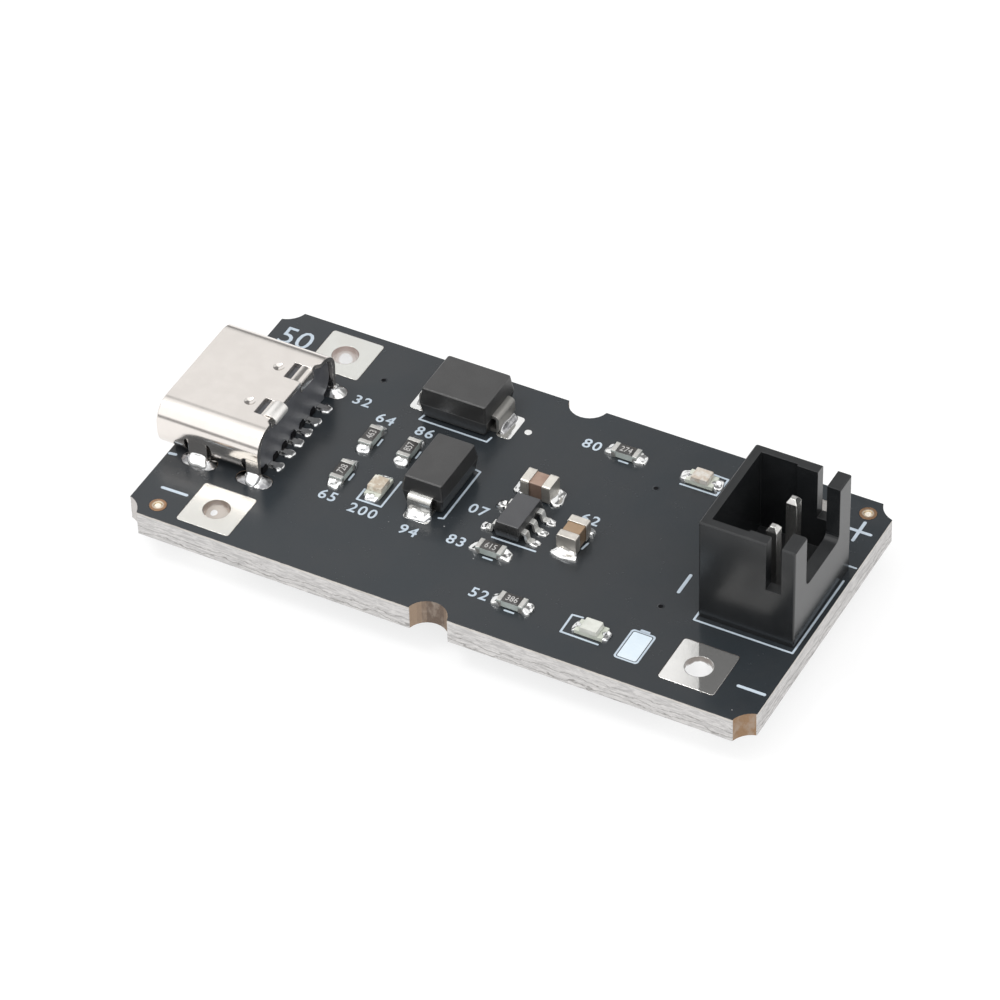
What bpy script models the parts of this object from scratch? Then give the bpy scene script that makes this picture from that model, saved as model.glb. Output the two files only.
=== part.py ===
# Lithium battery charger module: a bare circuit board with a USB-C socket at one end,
# a two-pin battery header at the other, and its diodes, chip, chip parts and lamps between.
# X runs along the board towards the battery header, Y across it, Z up.
# The origin is the middle of the board's underside. All sizes are in metres.
from math import asin, cos, pi, radians, sin, sqrt

import bmesh
import bpy
from mathutils import Vector

MM = 0.001

# Fits
SEAT_GAP = 0.02 * MM            # solder film or glue line between two pieces
CUT_MARGIN = 0.5 * MM           # how far a cutter runs past the face that it opens
WELD_OVERLAP = 0.04 * MM        # how far two shapes run into each other before a union

# Facets
ROUND_STEPS = 6                 # in a quarter turn
SMALL_STEPS = 3                 # in a quarter turn of a small hole
FINE_STEPS = 9                  # in a quarter turn of the shell's corners
CORNER_STEPS = 3                # in a small rounded corner
BEND_STEPS = 3                  # in a bend of a lead
FILLET_STEPS = 4                # in the hollow flare of a solder fillet
FLAT_ANGLE = 30.0               # degrees: an edge sharper than this stays sharp
ROUND_ANGLE = 60.0              # degrees: the same for solder and other round forms
SHORTEST_MITRE = 0.2            # keeps the corner of a very sharp bend from running away

# Board
BOARD_LENGTH = 39.0 * MM
BOARD_WIDTH = 19.2 * MM
BOARD_THICKNESS = 1.6 * MM
CORNER_NOTCH_RADIUS = 1.4 * MM
CORNER_NOTCH_SETBACK = 0.36 * MM    # the notch's centre lies this far outside both edges
EDGE_NOTCH_RADIUS = 1.22 * MM
EDGE_NOTCH_SETBACK = 0.25 * MM
MASK_DEPTH = 0.06 * MM          # depth of the openings in the lacquer round each land
LAND_RISE = 0.01 * MM           # how far a land stands above the lacquer
PLATING = 0.06 * MM

# Wire pads
WIRE_PAD_SIZE = 3.35 * MM
WIRE_PAD_CORNER = 0.18 * MM
WIRE_HOLE_RADIUS = 0.88 * MM
INPUT_PAD_FROM_END = 4.9 * MM
INPUT_PAD_FROM_EDGE = 2.2 * MM
BATTERY_PAD_FROM_END = 4.4 * MM
BATTERY_PAD_FROM_EDGE = 2.87 * MM

# Small ringed holes in two opposite corners
RING_RADIUS = 0.5 * MM
RING_HOLE_RADIUS = 0.34 * MM
NEAR_RING_FROM_END = 1.77 * MM
NEAR_RING_FROM_EDGE = 1.05 * MM
FAR_RING_FROM_END = 1.42 * MM
FAR_RING_FROM_EDGE = 1.1 * MM

# USB-C socket: the shell
SHELL_WIDTH = 8.94 * MM
SHELL_HEIGHT = 3.16 * MM
SHELL_CORNER = 1.33 * MM
SHELL_WALL = 0.3 * MM
SHELL_LENGTH = 6.6 * MM
SHELL_OVERHANG = 0.65 * MM      # how far the mouth stands out past the board's end
SHELL_LIP = 0.08 * MM
TOP_PLATE_SETBACK = 0.25 * MM   # the top plate ends this far before the side walls
TOP_PLATE_SIDE = 1.77 * MM      # from the shell's side to the cut in the top plate
FLOOR_PLATE_SETBACK = 1.25 * MM  # the floor plate ends this far before the side walls
REAR_OPENING_SIDE = 1.02 * MM   # from the shell's side to the cut in the floor plate
TAB_SLOT_LENGTH = 1.35 * MM     # from the shell's back
TAB_SLOT_SIDE = 2.77 * MM       # from the shell's side to the slot's middle
TAB_SLOT_SPAN = 1.35 * MM
TAB_WINDOW = 0.45 * MM
TAB_THICKNESS = 0.26 * MM
TAB_DROP = 0.6 * MM
DIMPLE_FROM_BACK = 2.0 * MM
DIMPLE_SIDE = 2.82 * MM         # from the shell's side
DIMPLE_BALL_RADIUS = 0.6 * MM
DIMPLE_DEPTH = 0.1 * MM
LEG_FRONT = 2.65 * MM           # middle of the front legs from the mouth
FRONT_LEG_WIDTH = 1.2 * MM
REAR_LEG_WIDTH = 0.8 * MM
LEG_BELOW_BOARD = 0.15 * MM
LEG_TIP_CHAMFER = 0.2 * MM
LEG_INSET = 0.015 * MM          # a leg's faces lie this far inside the wall's faces
LEG_RELIEF = 0.28 * MM          # free slit beside each leg
LEG_RELIEF_DEPTH = 1.1 * MM     # how far the slits reach in from the side
LEG_SLOT_LENGTH = 1.7 * MM
LEG_SLOT_WIDTH = 0.6 * MM
LEG_LAND_MARGIN = 0.26 * MM
LEG_SOLDER_HEIGHT = 0.36 * MM

# USB-C socket: the moulding and the contacts
BASE_LENGTH = 1.2 * MM
BASE_REAR_SETBACK = 0.25 * MM   # the moulding's back lies this far inside the side walls
BASE_FOOT_FRONT = 0.06 * MM     # clear of the floor plate's end
BASE_FOOT_CLEARANCE = 0.03 * MM
TONGUE_SIDE = 0.825 * MM        # free beside the tongue
TONGUE_THICKNESS = 0.7 * MM
TONGUE_SETBACK = 0.9 * MM       # the tongue's tip behind the mouth
TONGUE_TIP = 0.15 * MM
TONGUE_CORNER = 0.16 * MM
TONGUE_ROOT_LENGTH = 1.1 * MM
TONGUE_ROOT_SIDE = 0.62 * MM    # free beside the tongue's root
TONGUE_ROOT_THICKNESS = 1.15 * MM
CONTACT_WIDTH = 0.34 * MM
CONTACT_THICKNESS = 0.12 * MM
CONTACT_PROUD = 0.02 * MM       # above the tongue's face
CONTACT_FROM_TIP = 0.35 * MM
CONTACT_DROP_FROM_BACK = 0.5 * MM
CONTACT_FOOT = 0.8 * MM         # past the moulding's back
CONTACT_BEND = 0.18 * MM
CONTACT_FROM_SIDE = 0.595 * MM  # the outer contacts, from the tongue's side
OUTER_CONTACT = 11              # how many pitches the outer contacts lie from the middle
# each contact: pitches across from the middle on the tongue and on the board, tongue face
CONTACTS = (
    (-11, -11, -1),
    (-5, -6.08, -1),
    (-3, -2, 1),
    (3, 2, -1),
    (5, 6.08, 1),
    (11, 11, 1),
)

# Battery header
HEADER_LENGTH = 5.75 * MM       # along X
HEADER_WIDTH = 7.15 * MM        # along Y
HEADER_HEIGHT = 6.9 * MM
HEADER_FROM_END = 0.46 * MM
HEADER_OFFSET = 0.4 * MM        # from the board's middle line
HEADER_CORNER = 0.12 * MM
HEADER_EDGE = 0.08 * MM
HEADER_FLOOR = 1.5 * MM
BACK_WALL = 0.55 * MM
SIDE_WALL = 0.54 * MM
FRONT_WALL = 0.8 * MM
RIB_THICKNESS = 0.15 * MM
RIB_LENGTH = 1.25 * MM
KEY_SLOT_WIDTH = 0.92 * MM
KEY_SLOT_FLOOR = 3.6 * MM
FRONT_NOTCH_SIDE = 1.475 * MM   # from the header's side to the notch
FRONT_NOTCH_FLOOR = 3.3 * MM
FRONT_NOTCH_CORNER = 0.45 * MM
PIN_SIZE = 0.64 * MM
PIN_PITCH = 2.5 * MM
PIN_FROM_FRONT = 2.37 * MM
PIN_TOP = 6.15 * MM             # above the board
PIN_TAIL = 1.8 * MM             # below the board
PIN_POINT = 0.28 * MM
PIN_POINT_SIZE = 0.3 * MM
PIN_HOLE_RADIUS = 0.55 * MM
PIN_LAND_RADIUS = 0.95 * MM
PIN_SOLDER_HEIGHT = 0.95 * MM
SOLDER_WALL = 0.09 * MM         # thickness of a fillet where it thins out on a leg or pin

# Where each part between the socket and the header stands: how far along the free run between
# them, from 0 to 1; then from which line across the board it is set out (the near edge, the
# middle line or the far edge) and how far in from that line; then its turn.
NEAR_EDGE = -1
MIDDLE = 0
FAR_EDGE = 1
PLACES = {
    "input_diode": (0.2813, FAR_EDGE, 3.35 * MM, 0.0),
    "output_diode": (0.3465, MIDDLE, -0.2 * MM, pi / 2),
    "charger_chip": (0.5466, MIDDLE, -1.05 * MM, 0.0),
    "input_capacitor": (0.5421, MIDDLE, 1.8 * MM, 0.0),
    "battery_capacitor": (0.6744, MIDDLE, -1.0 * MM, pi / 2),
    "resistor_1": (0.6494, FAR_EDGE, 2.8 * MM, 0.0),
    "resistor_2": (0.6483, NEAR_EDGE, 2.65 * MM, 0.0),
    "resistor_3": (0.5346, MIDDLE, -3.7 * MM, 0.0),
    "resistor_4": (0.1446, MIDDLE, 1.55 * MM, pi / 2),
    "resistor_5": (0.1434, MIDDLE, -1.73 * MM, pi / 2),
    "resistor_6": (0.2358, MIDDLE, 1.57 * MM, pi / 2),
    "power_lamp": (0.2336, MIDDLE, -1.9 * MM, pi / 2),
    "charging_lamp": (0.8290, NEAR_EDGE, 2.68 * MM, 0.0),
    "charged_lamp": (0.8271, FAR_EDGE, 2.85 * MM, 0.0),
}

# Moulded diodes with folded leads
INPUT_DIODE = {
    "length": 4.3 * MM, "width": 3.5 * MM, "height": 2.2 * MM, "lead_width": 1.95 * MM,
}
OUTPUT_DIODE = {
    "length": 4.3 * MM, "width": 2.6 * MM, "height": 2.1 * MM, "lead_width": 1.45 * MM,
}
DIODE_STANDOFF = 0.12 * MM
DIODE_PARTING = 1.1 * MM
DIODE_DRAFT = 0.14 * MM
DIODE_EDGE = 0.06 * MM
DIODE_CORNER = 0.12 * MM
DIODE_LEAD_THICKNESS = 0.2 * MM
DIODE_LEAD_REACH = 0.42 * MM    # how far the fold stands out from the body
DIODE_LEAD_ROOT = 0.35 * MM     # how far the lead enters the body
DIODE_LEAD_FOOT = 1.1 * MM
DIODE_LEAD_BEND = 0.2 * MM
DIODE_RECESS_CLEAR = 0.06 * MM  # free round a folded foot in the recess under the body

# Charger chip
CHIP_LENGTH = 2.9 * MM          # along Y
CHIP_WIDTH = 1.6 * MM           # along X
CHIP_HEIGHT = 1.15 * MM
CHIP_STANDOFF = 0.1 * MM
CHIP_PARTING = 0.62 * MM
CHIP_DRAFT = 0.09 * MM
CHIP_EDGE = 0.03 * MM
CHIP_CORNER = 0.05 * MM
CHIP_LEAD_SPAN = 2.9 * MM
CHIP_LEAD_WIDTH = 0.4 * MM
CHIP_LEAD_THICKNESS = 0.15 * MM
CHIP_LEAD_PITCH = 0.95 * MM
CHIP_LEAD_ROOT = 0.2 * MM
CHIP_LEAD_SHOULDER = 0.2 * MM
CHIP_LEAD_FOOT = 0.35 * MM
CHIP_LEAD_BEND = 0.1 * MM

# Ceramic capacitors
CAPACITOR_LENGTH = 1.86 * MM
CAPACITOR_WIDTH = 1.22 * MM
CAPACITOR_HEIGHT = 1.2 * MM
CAPACITOR_BAND = 0.52 * MM
CAPACITOR_CAP_WALL = 0.05 * MM
CAPACITOR_ROUND = 0.06 * MM

# Chip resistors
RESISTOR_LENGTH = 1.6 * MM
RESISTOR_WIDTH = 0.8 * MM
RESISTOR_HEIGHT = 0.45 * MM
RESISTOR_BAND = 0.26 * MM
RESISTOR_BAND_RISE = 0.03 * MM

# Lamps
LAMP_LENGTH = 1.7 * MM
LAMP_WIDTH = 0.95 * MM
LAMP_BASE_HEIGHT = 0.25 * MM
LAMP_HEIGHT = 0.55 * MM
LAMP_LENS_LENGTH = 1.1 * MM
LAMP_LENS_DRAFT = 0.05 * MM
LAMP_NOTCH_RADIUS = 0.2 * MM

BOARD_TOP = BOARD_THICKNESS
SEAT_TOP = BOARD_TOP + SEAT_GAP


# Scene
def clear_scene():
    for old in list(bpy.data.objects):
        bpy.data.objects.remove(old, do_unlink=True)
    for old in list(bpy.data.meshes):
        bpy.data.meshes.remove(old)


def linear(red, green, blue):
    def one(value):
        value = value / 255.0
        return value / 12.92 if value <= 0.04045 else ((value + 0.055) / 1.055) ** 2.4
    return (one(red), one(green), one(blue), 1.0)


def material(name, colour, roughness, metallic=0.0, transmission=0.0):
    made = bpy.data.materials.new(name)
    made.use_nodes = True
    shader = made.node_tree.nodes["Principled BSDF"]
    shader.inputs["Base Color"].default_value = linear(*colour)
    shader.inputs["Roughness"].default_value = roughness
    shader.inputs["Metallic"].default_value = metallic
    shader.inputs["Transmission Weight"].default_value = transmission
    made.diffuse_color = linear(*colour)
    return made


def piece(name, mesh_builder, finish, location=(0.0, 0.0, 0.0), turn=0.0,
          smooth=FLAT_ANGLE):
    """One object from a bmesh, closed, facing out and placed on the board."""
    bmesh.ops.remove_doubles(mesh_builder, verts=mesh_builder.verts, dist=1e-8)
    bmesh.ops.recalc_face_normals(mesh_builder, faces=mesh_builder.faces)
    mesh = bpy.data.meshes.new(name)
    mesh_builder.to_mesh(mesh)
    mesh_builder.free()
    mesh.shade_smooth()
    mesh.set_sharp_from_angle(angle=radians(smooth))
    made = bpy.data.objects.new(name, mesh)
    bpy.context.scene.collection.objects.link(made)
    made.location = location
    made.rotation_euler = (0.0, 0.0, turn)
    made.parent = module
    if finish is not None:
        mesh.materials.append(finish)
    return made


def helper(name, mesh_builder, location=(0.0, 0.0, 0.0), turn=0.0):
    made = piece(name, mesh_builder, None, location, turn)
    made.hide_render = True
    made.display_type = "WIRE"
    return made


def boolean(target, other, operation):
    step = target.modifiers.new(operation.lower() + "_" + other.name, "BOOLEAN")
    step.operation = operation
    step.solver = "EXACT"
    step.object = other


# Outlines, as lists of points in a plane
def arc(centre_x, centre_y, radius, start, end, steps):
    turns = (start + (end - start) * i / steps for i in range(steps + 1))
    return [(centre_x + radius * cos(a), centre_y + radius * sin(a)) for a in turns]


def rounded_rectangle(length, width, radius, steps=ROUND_STEPS):
    x = length / 2 - radius
    y = width / 2 - radius
    corners = ((x, y), (-x, y), (-x, -y), (x, -y))
    points = []
    for i, (cx, cy) in enumerate(corners):
        points += arc(cx, cy, radius, i * pi / 2, (i + 1) * pi / 2, steps)
    return points


def matched_circle(radius, steps=SMALL_STEPS):
    """A circle with as many points as a rounded rectangle, quarter for quarter."""
    count = 4 * (steps + 1)
    turns = ((i + 0.5) * 2 * pi / count for i in range(count))
    return [(radius * cos(a), radius * sin(a)) for a in turns]


def stadium(length, width, steps=2 * SMALL_STEPS):
    radius = width / 2
    reach = length / 2 - radius
    return (arc(reach, 0.0, radius, -pi / 2, pi / 2, steps)
            + arc(-reach, 0.0, radius, pi / 2, 3 * pi / 2, steps))


def board_outline():
    """The rectangle with a shallow round notch in each corner and one in each long edge."""
    half_x = BOARD_LENGTH / 2
    half_y = BOARD_WIDTH / 2
    corner_slant = asin(CORNER_NOTCH_SETBACK / CORNER_NOTCH_RADIUS)
    edge_slant = asin(EDGE_NOTCH_SETBACK / EDGE_NOTCH_RADIUS)
    signs = ((-1, -1), (1, -1), (1, 1), (-1, 1))
    points = []
    for i, (sx, sy) in enumerate(signs):
        turn = i * pi / 2
        points += arc(sx * (half_x + CORNER_NOTCH_SETBACK),
                      sy * (half_y + CORNER_NOTCH_SETBACK), CORNER_NOTCH_RADIUS,
                      turn + pi / 2 - corner_slant, turn + corner_slant, ROUND_STEPS)
        if i in (0, 2):
            points += arc(0.0, sy * (half_y + EDGE_NOTCH_SETBACK), EDGE_NOTCH_RADIUS,
                          turn + pi - edge_slant, turn + edge_slant, 2 * ROUND_STEPS)
    return points


# Solids
def loft(rings, closed=False):
    """Skins matching rings of points. An open loft is capped, a closed one runs round."""
    made = bmesh.new()
    rows = [[made.verts.new(point) for point in ring] for ring in rings]
    count = len(rows[0])
    pairs = list(zip(rows, rows[1:]))
    if closed:
        pairs.append((rows[-1], rows[0]))
    for low, high in pairs:
        for i in range(count):
            j = (i + 1) % count
            made.faces.new((low[i], low[j], high[j], high[i]))
    if not closed:
        made.faces.new(rows[0])
        made.faces.new(rows[-1])
    return made


def at_height(points, z):
    return [(x, y, z) for x, y in points]


def at_station(points, x):
    """An outline stood upright across the board's length."""
    return [(x, y, z) for y, z in points]


def prism(ring, along):
    """A closed ring of points swept along a vector."""
    made = bmesh.new()
    face = made.faces.new([made.verts.new(point) for point in ring])
    grown = bmesh.ops.extrude_face_region(made, geom=[face])
    far = [v for v in grown["geom"] if isinstance(v, bmesh.types.BMVert)]
    bmesh.ops.translate(made, verts=far, vec=along)
    return made


def extruded(points, low, high):
    return prism([(x, y, low) for x, y in points], (0.0, 0.0, high - low))


def upright(points, low, high):
    """An outline in X and Z, extruded along Y."""
    return prism([(x, low, z) for x, z in points], (0.0, high - low, 0.0))


def across(points, low, high):
    """An outline in Y and Z, extruded along X."""
    return prism([(low, y, z) for y, z in points], (high - low, 0.0, 0.0))


def block(x0, x1, y0, y1, z0, z1):
    return extruded([(x0, y0), (x1, y0), (x1, y1), (x0, y1)], z0, z1)


def ball(radius, steps=4 * ROUND_STEPS):
    made = bmesh.new()
    bmesh.ops.create_uvsphere(made, u_segments=steps, v_segments=steps // 2, radius=radius)
    return made


def rounded_path(corners, radius, steps=BEND_STEPS):
    """A path in X and Z with each inner corner turned by a round bend."""
    points = [Vector(corners[0])]
    for before, corner, after in zip(corners, corners[1:], corners[2:]):
        corner = Vector(corner)
        back = (Vector(before) - corner).normalized()
        ahead = (Vector(after) - corner).normalized()
        half = back.angle(ahead) / 2
        reach = radius * cos(half) / sin(half)
        middle = corner + (back + ahead).normalized() * radius / sin(half)
        start = corner + back * reach - middle
        end = corner + ahead * reach - middle
        sweep_angle = start.angle(end)
        for i in range(steps + 1):
            share = i / steps
            low = sin((1 - share) * sweep_angle) / sin(sweep_angle)
            high = sin(share * sweep_angle) / sin(sweep_angle)
            points.append(middle + start * low + end * high)
    points.append(Vector(corners[-1]))
    return points


def strip(path, width, thickness, across_at=None, grow=0.0):
    """A flat strip bent along a path in X and Z. across_at gives its Y for each X."""
    rings = []
    last = len(path) - 1
    for i, point in enumerate(path):
        before = (point - path[max(i - 1, 0)])
        after = (path[min(i + 1, last)] - point)
        before = before.normalized() if before.length > 0 else after.normalized()
        after = after.normalized() if after.length > 0 else before
        along = (before + after).normalized()
        normal = Vector((-along.y, along.x))
        mitre = 1 / max(SHORTEST_MITRE, along.dot(after))
        offset = normal * (thickness / 2 + grow) * mitre
        shift = along * (grow if i == last else -grow if i == 0 else 0.0)
        y = across_at(point.x) if across_at else 0.0
        half = width / 2 + grow
        high = point + shift + offset
        low = point + shift - offset
        rings.append([(high.x, y - half, high.y), (high.x, y + half, high.y),
                      (low.x, y + half, low.y), (low.x, y - half, low.y)])
    return loft(rings)


def spool(land, hole):
    """Cutter for a plated hole: the hole through, and the shallow lacquer opening on both faces."""
    low = MASK_DEPTH
    high = BOARD_TOP - MASK_DEPTH
    return loft([at_height(land, -CUT_MARGIN), at_height(land, low), at_height(hole, low),
                 at_height(hole, high), at_height(land, high),
                 at_height(land, BOARD_TOP + CUT_MARGIN)])


def eyelet(land, barrel, bore):
    """Copper plated round a hole, with a land on each face of the board."""
    low = MASK_DEPTH - SEAT_GAP
    high = BOARD_TOP - low
    return loft([at_height(bore, -LAND_RISE), at_height(land, -LAND_RISE),
                 at_height(land, low), at_height(barrel, low),
                 at_height(barrel, high), at_height(land, high),
                 at_height(land, BOARD_TOP + LAND_RISE),
                 at_height(bore, BOARD_TOP + LAND_RISE)], closed=True)


clear_scene()
module = bpy.data.objects.new("charger_module", None)
bpy.context.scene.collection.objects.link(module)

lacquer = material("lacquered board", (76, 79, 83), 0.42)
tin = material("tinned land", (226, 224, 218), 0.35, 1.0)
copper = material("copper ring", (222, 170, 128), 0.35, 1.0)
nickel = material("nickel plated shell", (222, 216, 210), 0.2, 1.0)
socket_plastic = material("socket moulding", (52, 56, 62), 0.4)
gold = material("gilt contact", (214, 186, 120), 0.25, 1.0)
header_plastic = material("header moulding", (40, 41, 43), 0.3)
pin_metal = material("tinned pin", (205, 203, 198), 0.25, 1.0)
solder = material("solder", (214, 214, 212), 0.18, 1.0)
epoxy = material("moulding compound", (66, 67, 68), 0.5)
lead_metal = material("tinned lead", (200, 200, 198), 0.28, 1.0)
ceramic = material("capacitor ceramic", (196, 168, 142), 0.55)
end_metal = material("chip end metal", (214, 212, 204), 0.35, 1.0)
resistor_body = material("resistor body", (58, 60, 62), 0.45)
lamp_base = material("lamp base", (222, 226, 214), 0.5)
lamp_lens = material("lamp lens", (236, 230, 206), 0.25)

# Board
half_length = BOARD_LENGTH / 2
half_width = BOARD_WIDTH / 2
board = piece("circuit_board", extruded(board_outline(), 0.0, BOARD_TOP), lacquer)

# Wire pads
wire_land = rounded_rectangle(WIRE_PAD_SIZE, WIRE_PAD_SIZE, WIRE_PAD_CORNER)
wire_opening = rounded_rectangle(WIRE_PAD_SIZE + 2 * SEAT_GAP, WIRE_PAD_SIZE + 2 * SEAT_GAP,
                                 WIRE_PAD_CORNER + SEAT_GAP)
input_x = -half_length + INPUT_PAD_FROM_END
input_y = half_width - INPUT_PAD_FROM_EDGE
battery_x = half_length - BATTERY_PAD_FROM_END
battery_y = half_width - BATTERY_PAD_FROM_EDGE
wire_pads = (
    ("input_pad_negative", input_x, -input_y),
    ("input_pad_positive", input_x, input_y),
    ("battery_pad_negative", battery_x, -battery_y),
    ("battery_pad_positive", battery_x, battery_y),
)
for name, x, y in wire_pads:
    barrel_radius = WIRE_HOLE_RADIUS - SEAT_GAP
    piece(name, eyelet(wire_land, matched_circle(barrel_radius, ROUND_STEPS),
                       matched_circle(barrel_radius - PLATING, ROUND_STEPS)), tin, (x, y, 0.0))
    boolean(board, helper("cut_" + name, spool(
        wire_opening, matched_circle(WIRE_HOLE_RADIUS, ROUND_STEPS)), (x, y, 0.0)), "DIFFERENCE")

# Ringed holes
rings = (
    ("ringed_hole_near", -half_length + NEAR_RING_FROM_END, -half_width + NEAR_RING_FROM_EDGE),
    ("ringed_hole_far", half_length - FAR_RING_FROM_END, half_width - FAR_RING_FROM_EDGE),
)
for name, x, y in rings:
    barrel_radius = RING_HOLE_RADIUS - SEAT_GAP
    piece(name, eyelet(matched_circle(RING_RADIUS), matched_circle(barrel_radius),
                       matched_circle(barrel_radius - PLATING)), copper, (x, y, 0.0))
    boolean(board, helper("cut_" + name,
                          spool(matched_circle(RING_RADIUS + SEAT_GAP),
                                matched_circle(RING_HOLE_RADIUS)), (x, y, 0.0)), "DIFFERENCE")

# USB-C shell: a flat tube with round sides, open at the mouth, its legs folded down
mouth_x = -half_length - SHELL_OVERHANG
shell_back = mouth_x + SHELL_LENGTH
shell_middle = SEAT_TOP + SHELL_HEIGHT / 2
shell_top = SEAT_TOP + SHELL_HEIGHT
inner_width = SHELL_WIDTH - 2 * SHELL_WALL
inner_height = SHELL_HEIGHT - 2 * SHELL_WALL
top_plate_back = shell_back - TOP_PLATE_SETBACK
floor_plate_back = shell_back - FLOOR_PLATE_SETBACK
leg_y = SHELL_WIDTH / 2 - SHELL_WALL / 2
leg_thickness = SHELL_WALL - 2 * LEG_INSET


def shell_section(inset, x):
    outline = rounded_rectangle(SHELL_WIDTH - 2 * inset, SHELL_HEIGHT - 2 * inset,
                                SHELL_CORNER - inset, FINE_STEPS)
    return at_station([(y, z + shell_middle) for y, z in outline], x)


shell = piece("usb_shell", loft([
    shell_section(0.0, mouth_x + SHELL_LIP),
    shell_section(SHELL_LIP, mouth_x),
    shell_section(SHELL_WALL - SHELL_LIP, mouth_x),
    shell_section(SHELL_WALL, mouth_x + SHELL_LIP),
    shell_section(SHELL_WALL, shell_back),
    shell_section(0.0, shell_back),
], closed=True), nickel)

shell_end = shell_back + CUT_MARGIN
half_span = SHELL_WIDTH / 2 - TOP_PLATE_SIDE
rear_span = SHELL_WIDTH - 2 * REAR_OPENING_SIDE
tab_offset = SHELL_WIDTH / 2 - TAB_SLOT_SIDE
top_trim = [(top_plate_back, -half_span), (shell_end, -half_span - TOP_PLATE_SETBACK - CUT_MARGIN),
            (shell_end, half_span + TOP_PLATE_SETBACK + CUT_MARGIN), (top_plate_back, half_span)]
boolean(shell, helper("cut_shell_top", extruded(
    top_trim, shell_middle, shell_top + CUT_MARGIN)), "DIFFERENCE")
boolean(shell, helper("cut_shell_floor", block(
    floor_plate_back, shell_end, -rear_span / 2, rear_span / 2,
    SEAT_TOP - CUT_MARGIN, shell_middle)), "DIFFERENCE")

slot_front = shell_back - TAB_SLOT_LENGTH
tab_front = slot_front + TAB_WINDOW
tab_z = shell_top - SEAT_GAP / 2 - TAB_THICKNESS / 2
tab_back = top_plate_back + WELD_OVERLAP - TAB_THICKNESS / 2
tab_path = rounded_path([(tab_front, tab_z), (tab_back, tab_z),
                         (tab_back, tab_z - TAB_DROP)], TAB_THICKNESS)
for side in (-1, 1):
    y = side * tab_offset
    where = "near" if side < 0 else "far"
    boolean(shell, helper("cut_tab_slot_" + where, block(
        slot_front, shell_end, y - TAB_SLOT_SPAN / 2, y + TAB_SLOT_SPAN / 2,
        shell_middle, shell_top + CUT_MARGIN)), "DIFFERENCE")
    boolean(shell, helper("tab_" + where, strip(
        tab_path, TAB_SLOT_SPAN + 2 * WELD_OVERLAP, TAB_THICKNESS), (0.0, y, 0.0)), "UNION")
    boolean(shell, helper("cut_dimple_" + where, ball(DIMPLE_BALL_RADIUS), (
        shell_back - DIMPLE_FROM_BACK, side * (SHELL_WIDTH / 2 - DIMPLE_SIDE),
        shell_top - DIMPLE_DEPTH + DIMPLE_BALL_RADIUS)), "DIFFERENCE")

front_leg_x = mouth_x + LEG_FRONT
rear_leg_x = shell_back - REAR_LEG_WIDTH / 2
legs = (
    ("front_near", front_leg_x, -1, FRONT_LEG_WIDTH),
    ("front_far", front_leg_x, 1, FRONT_LEG_WIDTH),
    ("rear_near", rear_leg_x, -1, REAR_LEG_WIDTH),
    ("rear_far", rear_leg_x, 1, REAR_LEG_WIDTH),
)
leg_tip = -LEG_BELOW_BOARD


def leg_outline(width, grow=0.0):
    """A leg seen from the side: straight, with its tip's corners cut off."""
    half = width / 2 + grow
    tip = leg_tip - grow
    top = shell_middle + WELD_OVERLAP
    return [(-half, top), (-half, tip + LEG_TIP_CHAMFER), (-half + LEG_TIP_CHAMFER, tip),
            (half - LEG_TIP_CHAMFER, tip), (half, tip + LEG_TIP_CHAMFER), (half, top)]


for name, x, side, width in legs:
    relief = width + 2 * LEG_RELIEF
    relief_height = shell_middle - WELD_OVERLAP - SEAT_TOP + CUT_MARGIN
    arch = rounded_rectangle(relief, relief_height, LEG_RELIEF, CORNER_STEPS)
    middle = SEAT_TOP - CUT_MARGIN + relief_height / 2
    y_low = SHELL_WIDTH / 2 - LEG_RELIEF_DEPTH
    y_high = SHELL_WIDTH / 2 + CUT_MARGIN
    boolean(shell, helper("cut_relief_" + name, upright(
        [(px, pz + middle) for px, pz in arch],
        min(side * y_low, side * y_high), max(side * y_low, side * y_high)), (x, 0.0, 0.0)),
        "DIFFERENCE")
for name, x, side, width in legs:
    boolean(shell, helper("leg_" + name, upright(
        leg_outline(width), -leg_thickness / 2, leg_thickness / 2), (x, side * leg_y, 0.0)),
        "UNION")

# Solder round the legs, in plated slots
slot = stadium(LEG_SLOT_LENGTH, LEG_SLOT_WIDTH)
slot_land = stadium(LEG_SLOT_LENGTH + 2 * LEG_LAND_MARGIN, LEG_SLOT_WIDTH + 2 * LEG_LAND_MARGIN)
slot_opening = stadium(LEG_SLOT_LENGTH + 2 * (LEG_LAND_MARGIN + SEAT_GAP),
                       LEG_SLOT_WIDTH + 2 * (LEG_LAND_MARGIN + SEAT_GAP))
slot_fill = stadium(LEG_SLOT_LENGTH - 2 * SEAT_GAP, LEG_SLOT_WIDTH - 2 * SEAT_GAP)


def fillet_sizes(wide, narrow, height, steps=FILLET_STEPS):
    """The hollow flare of a solder fillet, as (size, height) from the land up."""
    shares = (i / steps for i in range(steps + 1))
    return [(narrow + (wide - narrow) * (1 - s) ** 2, height * s) for s in shares]


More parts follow.
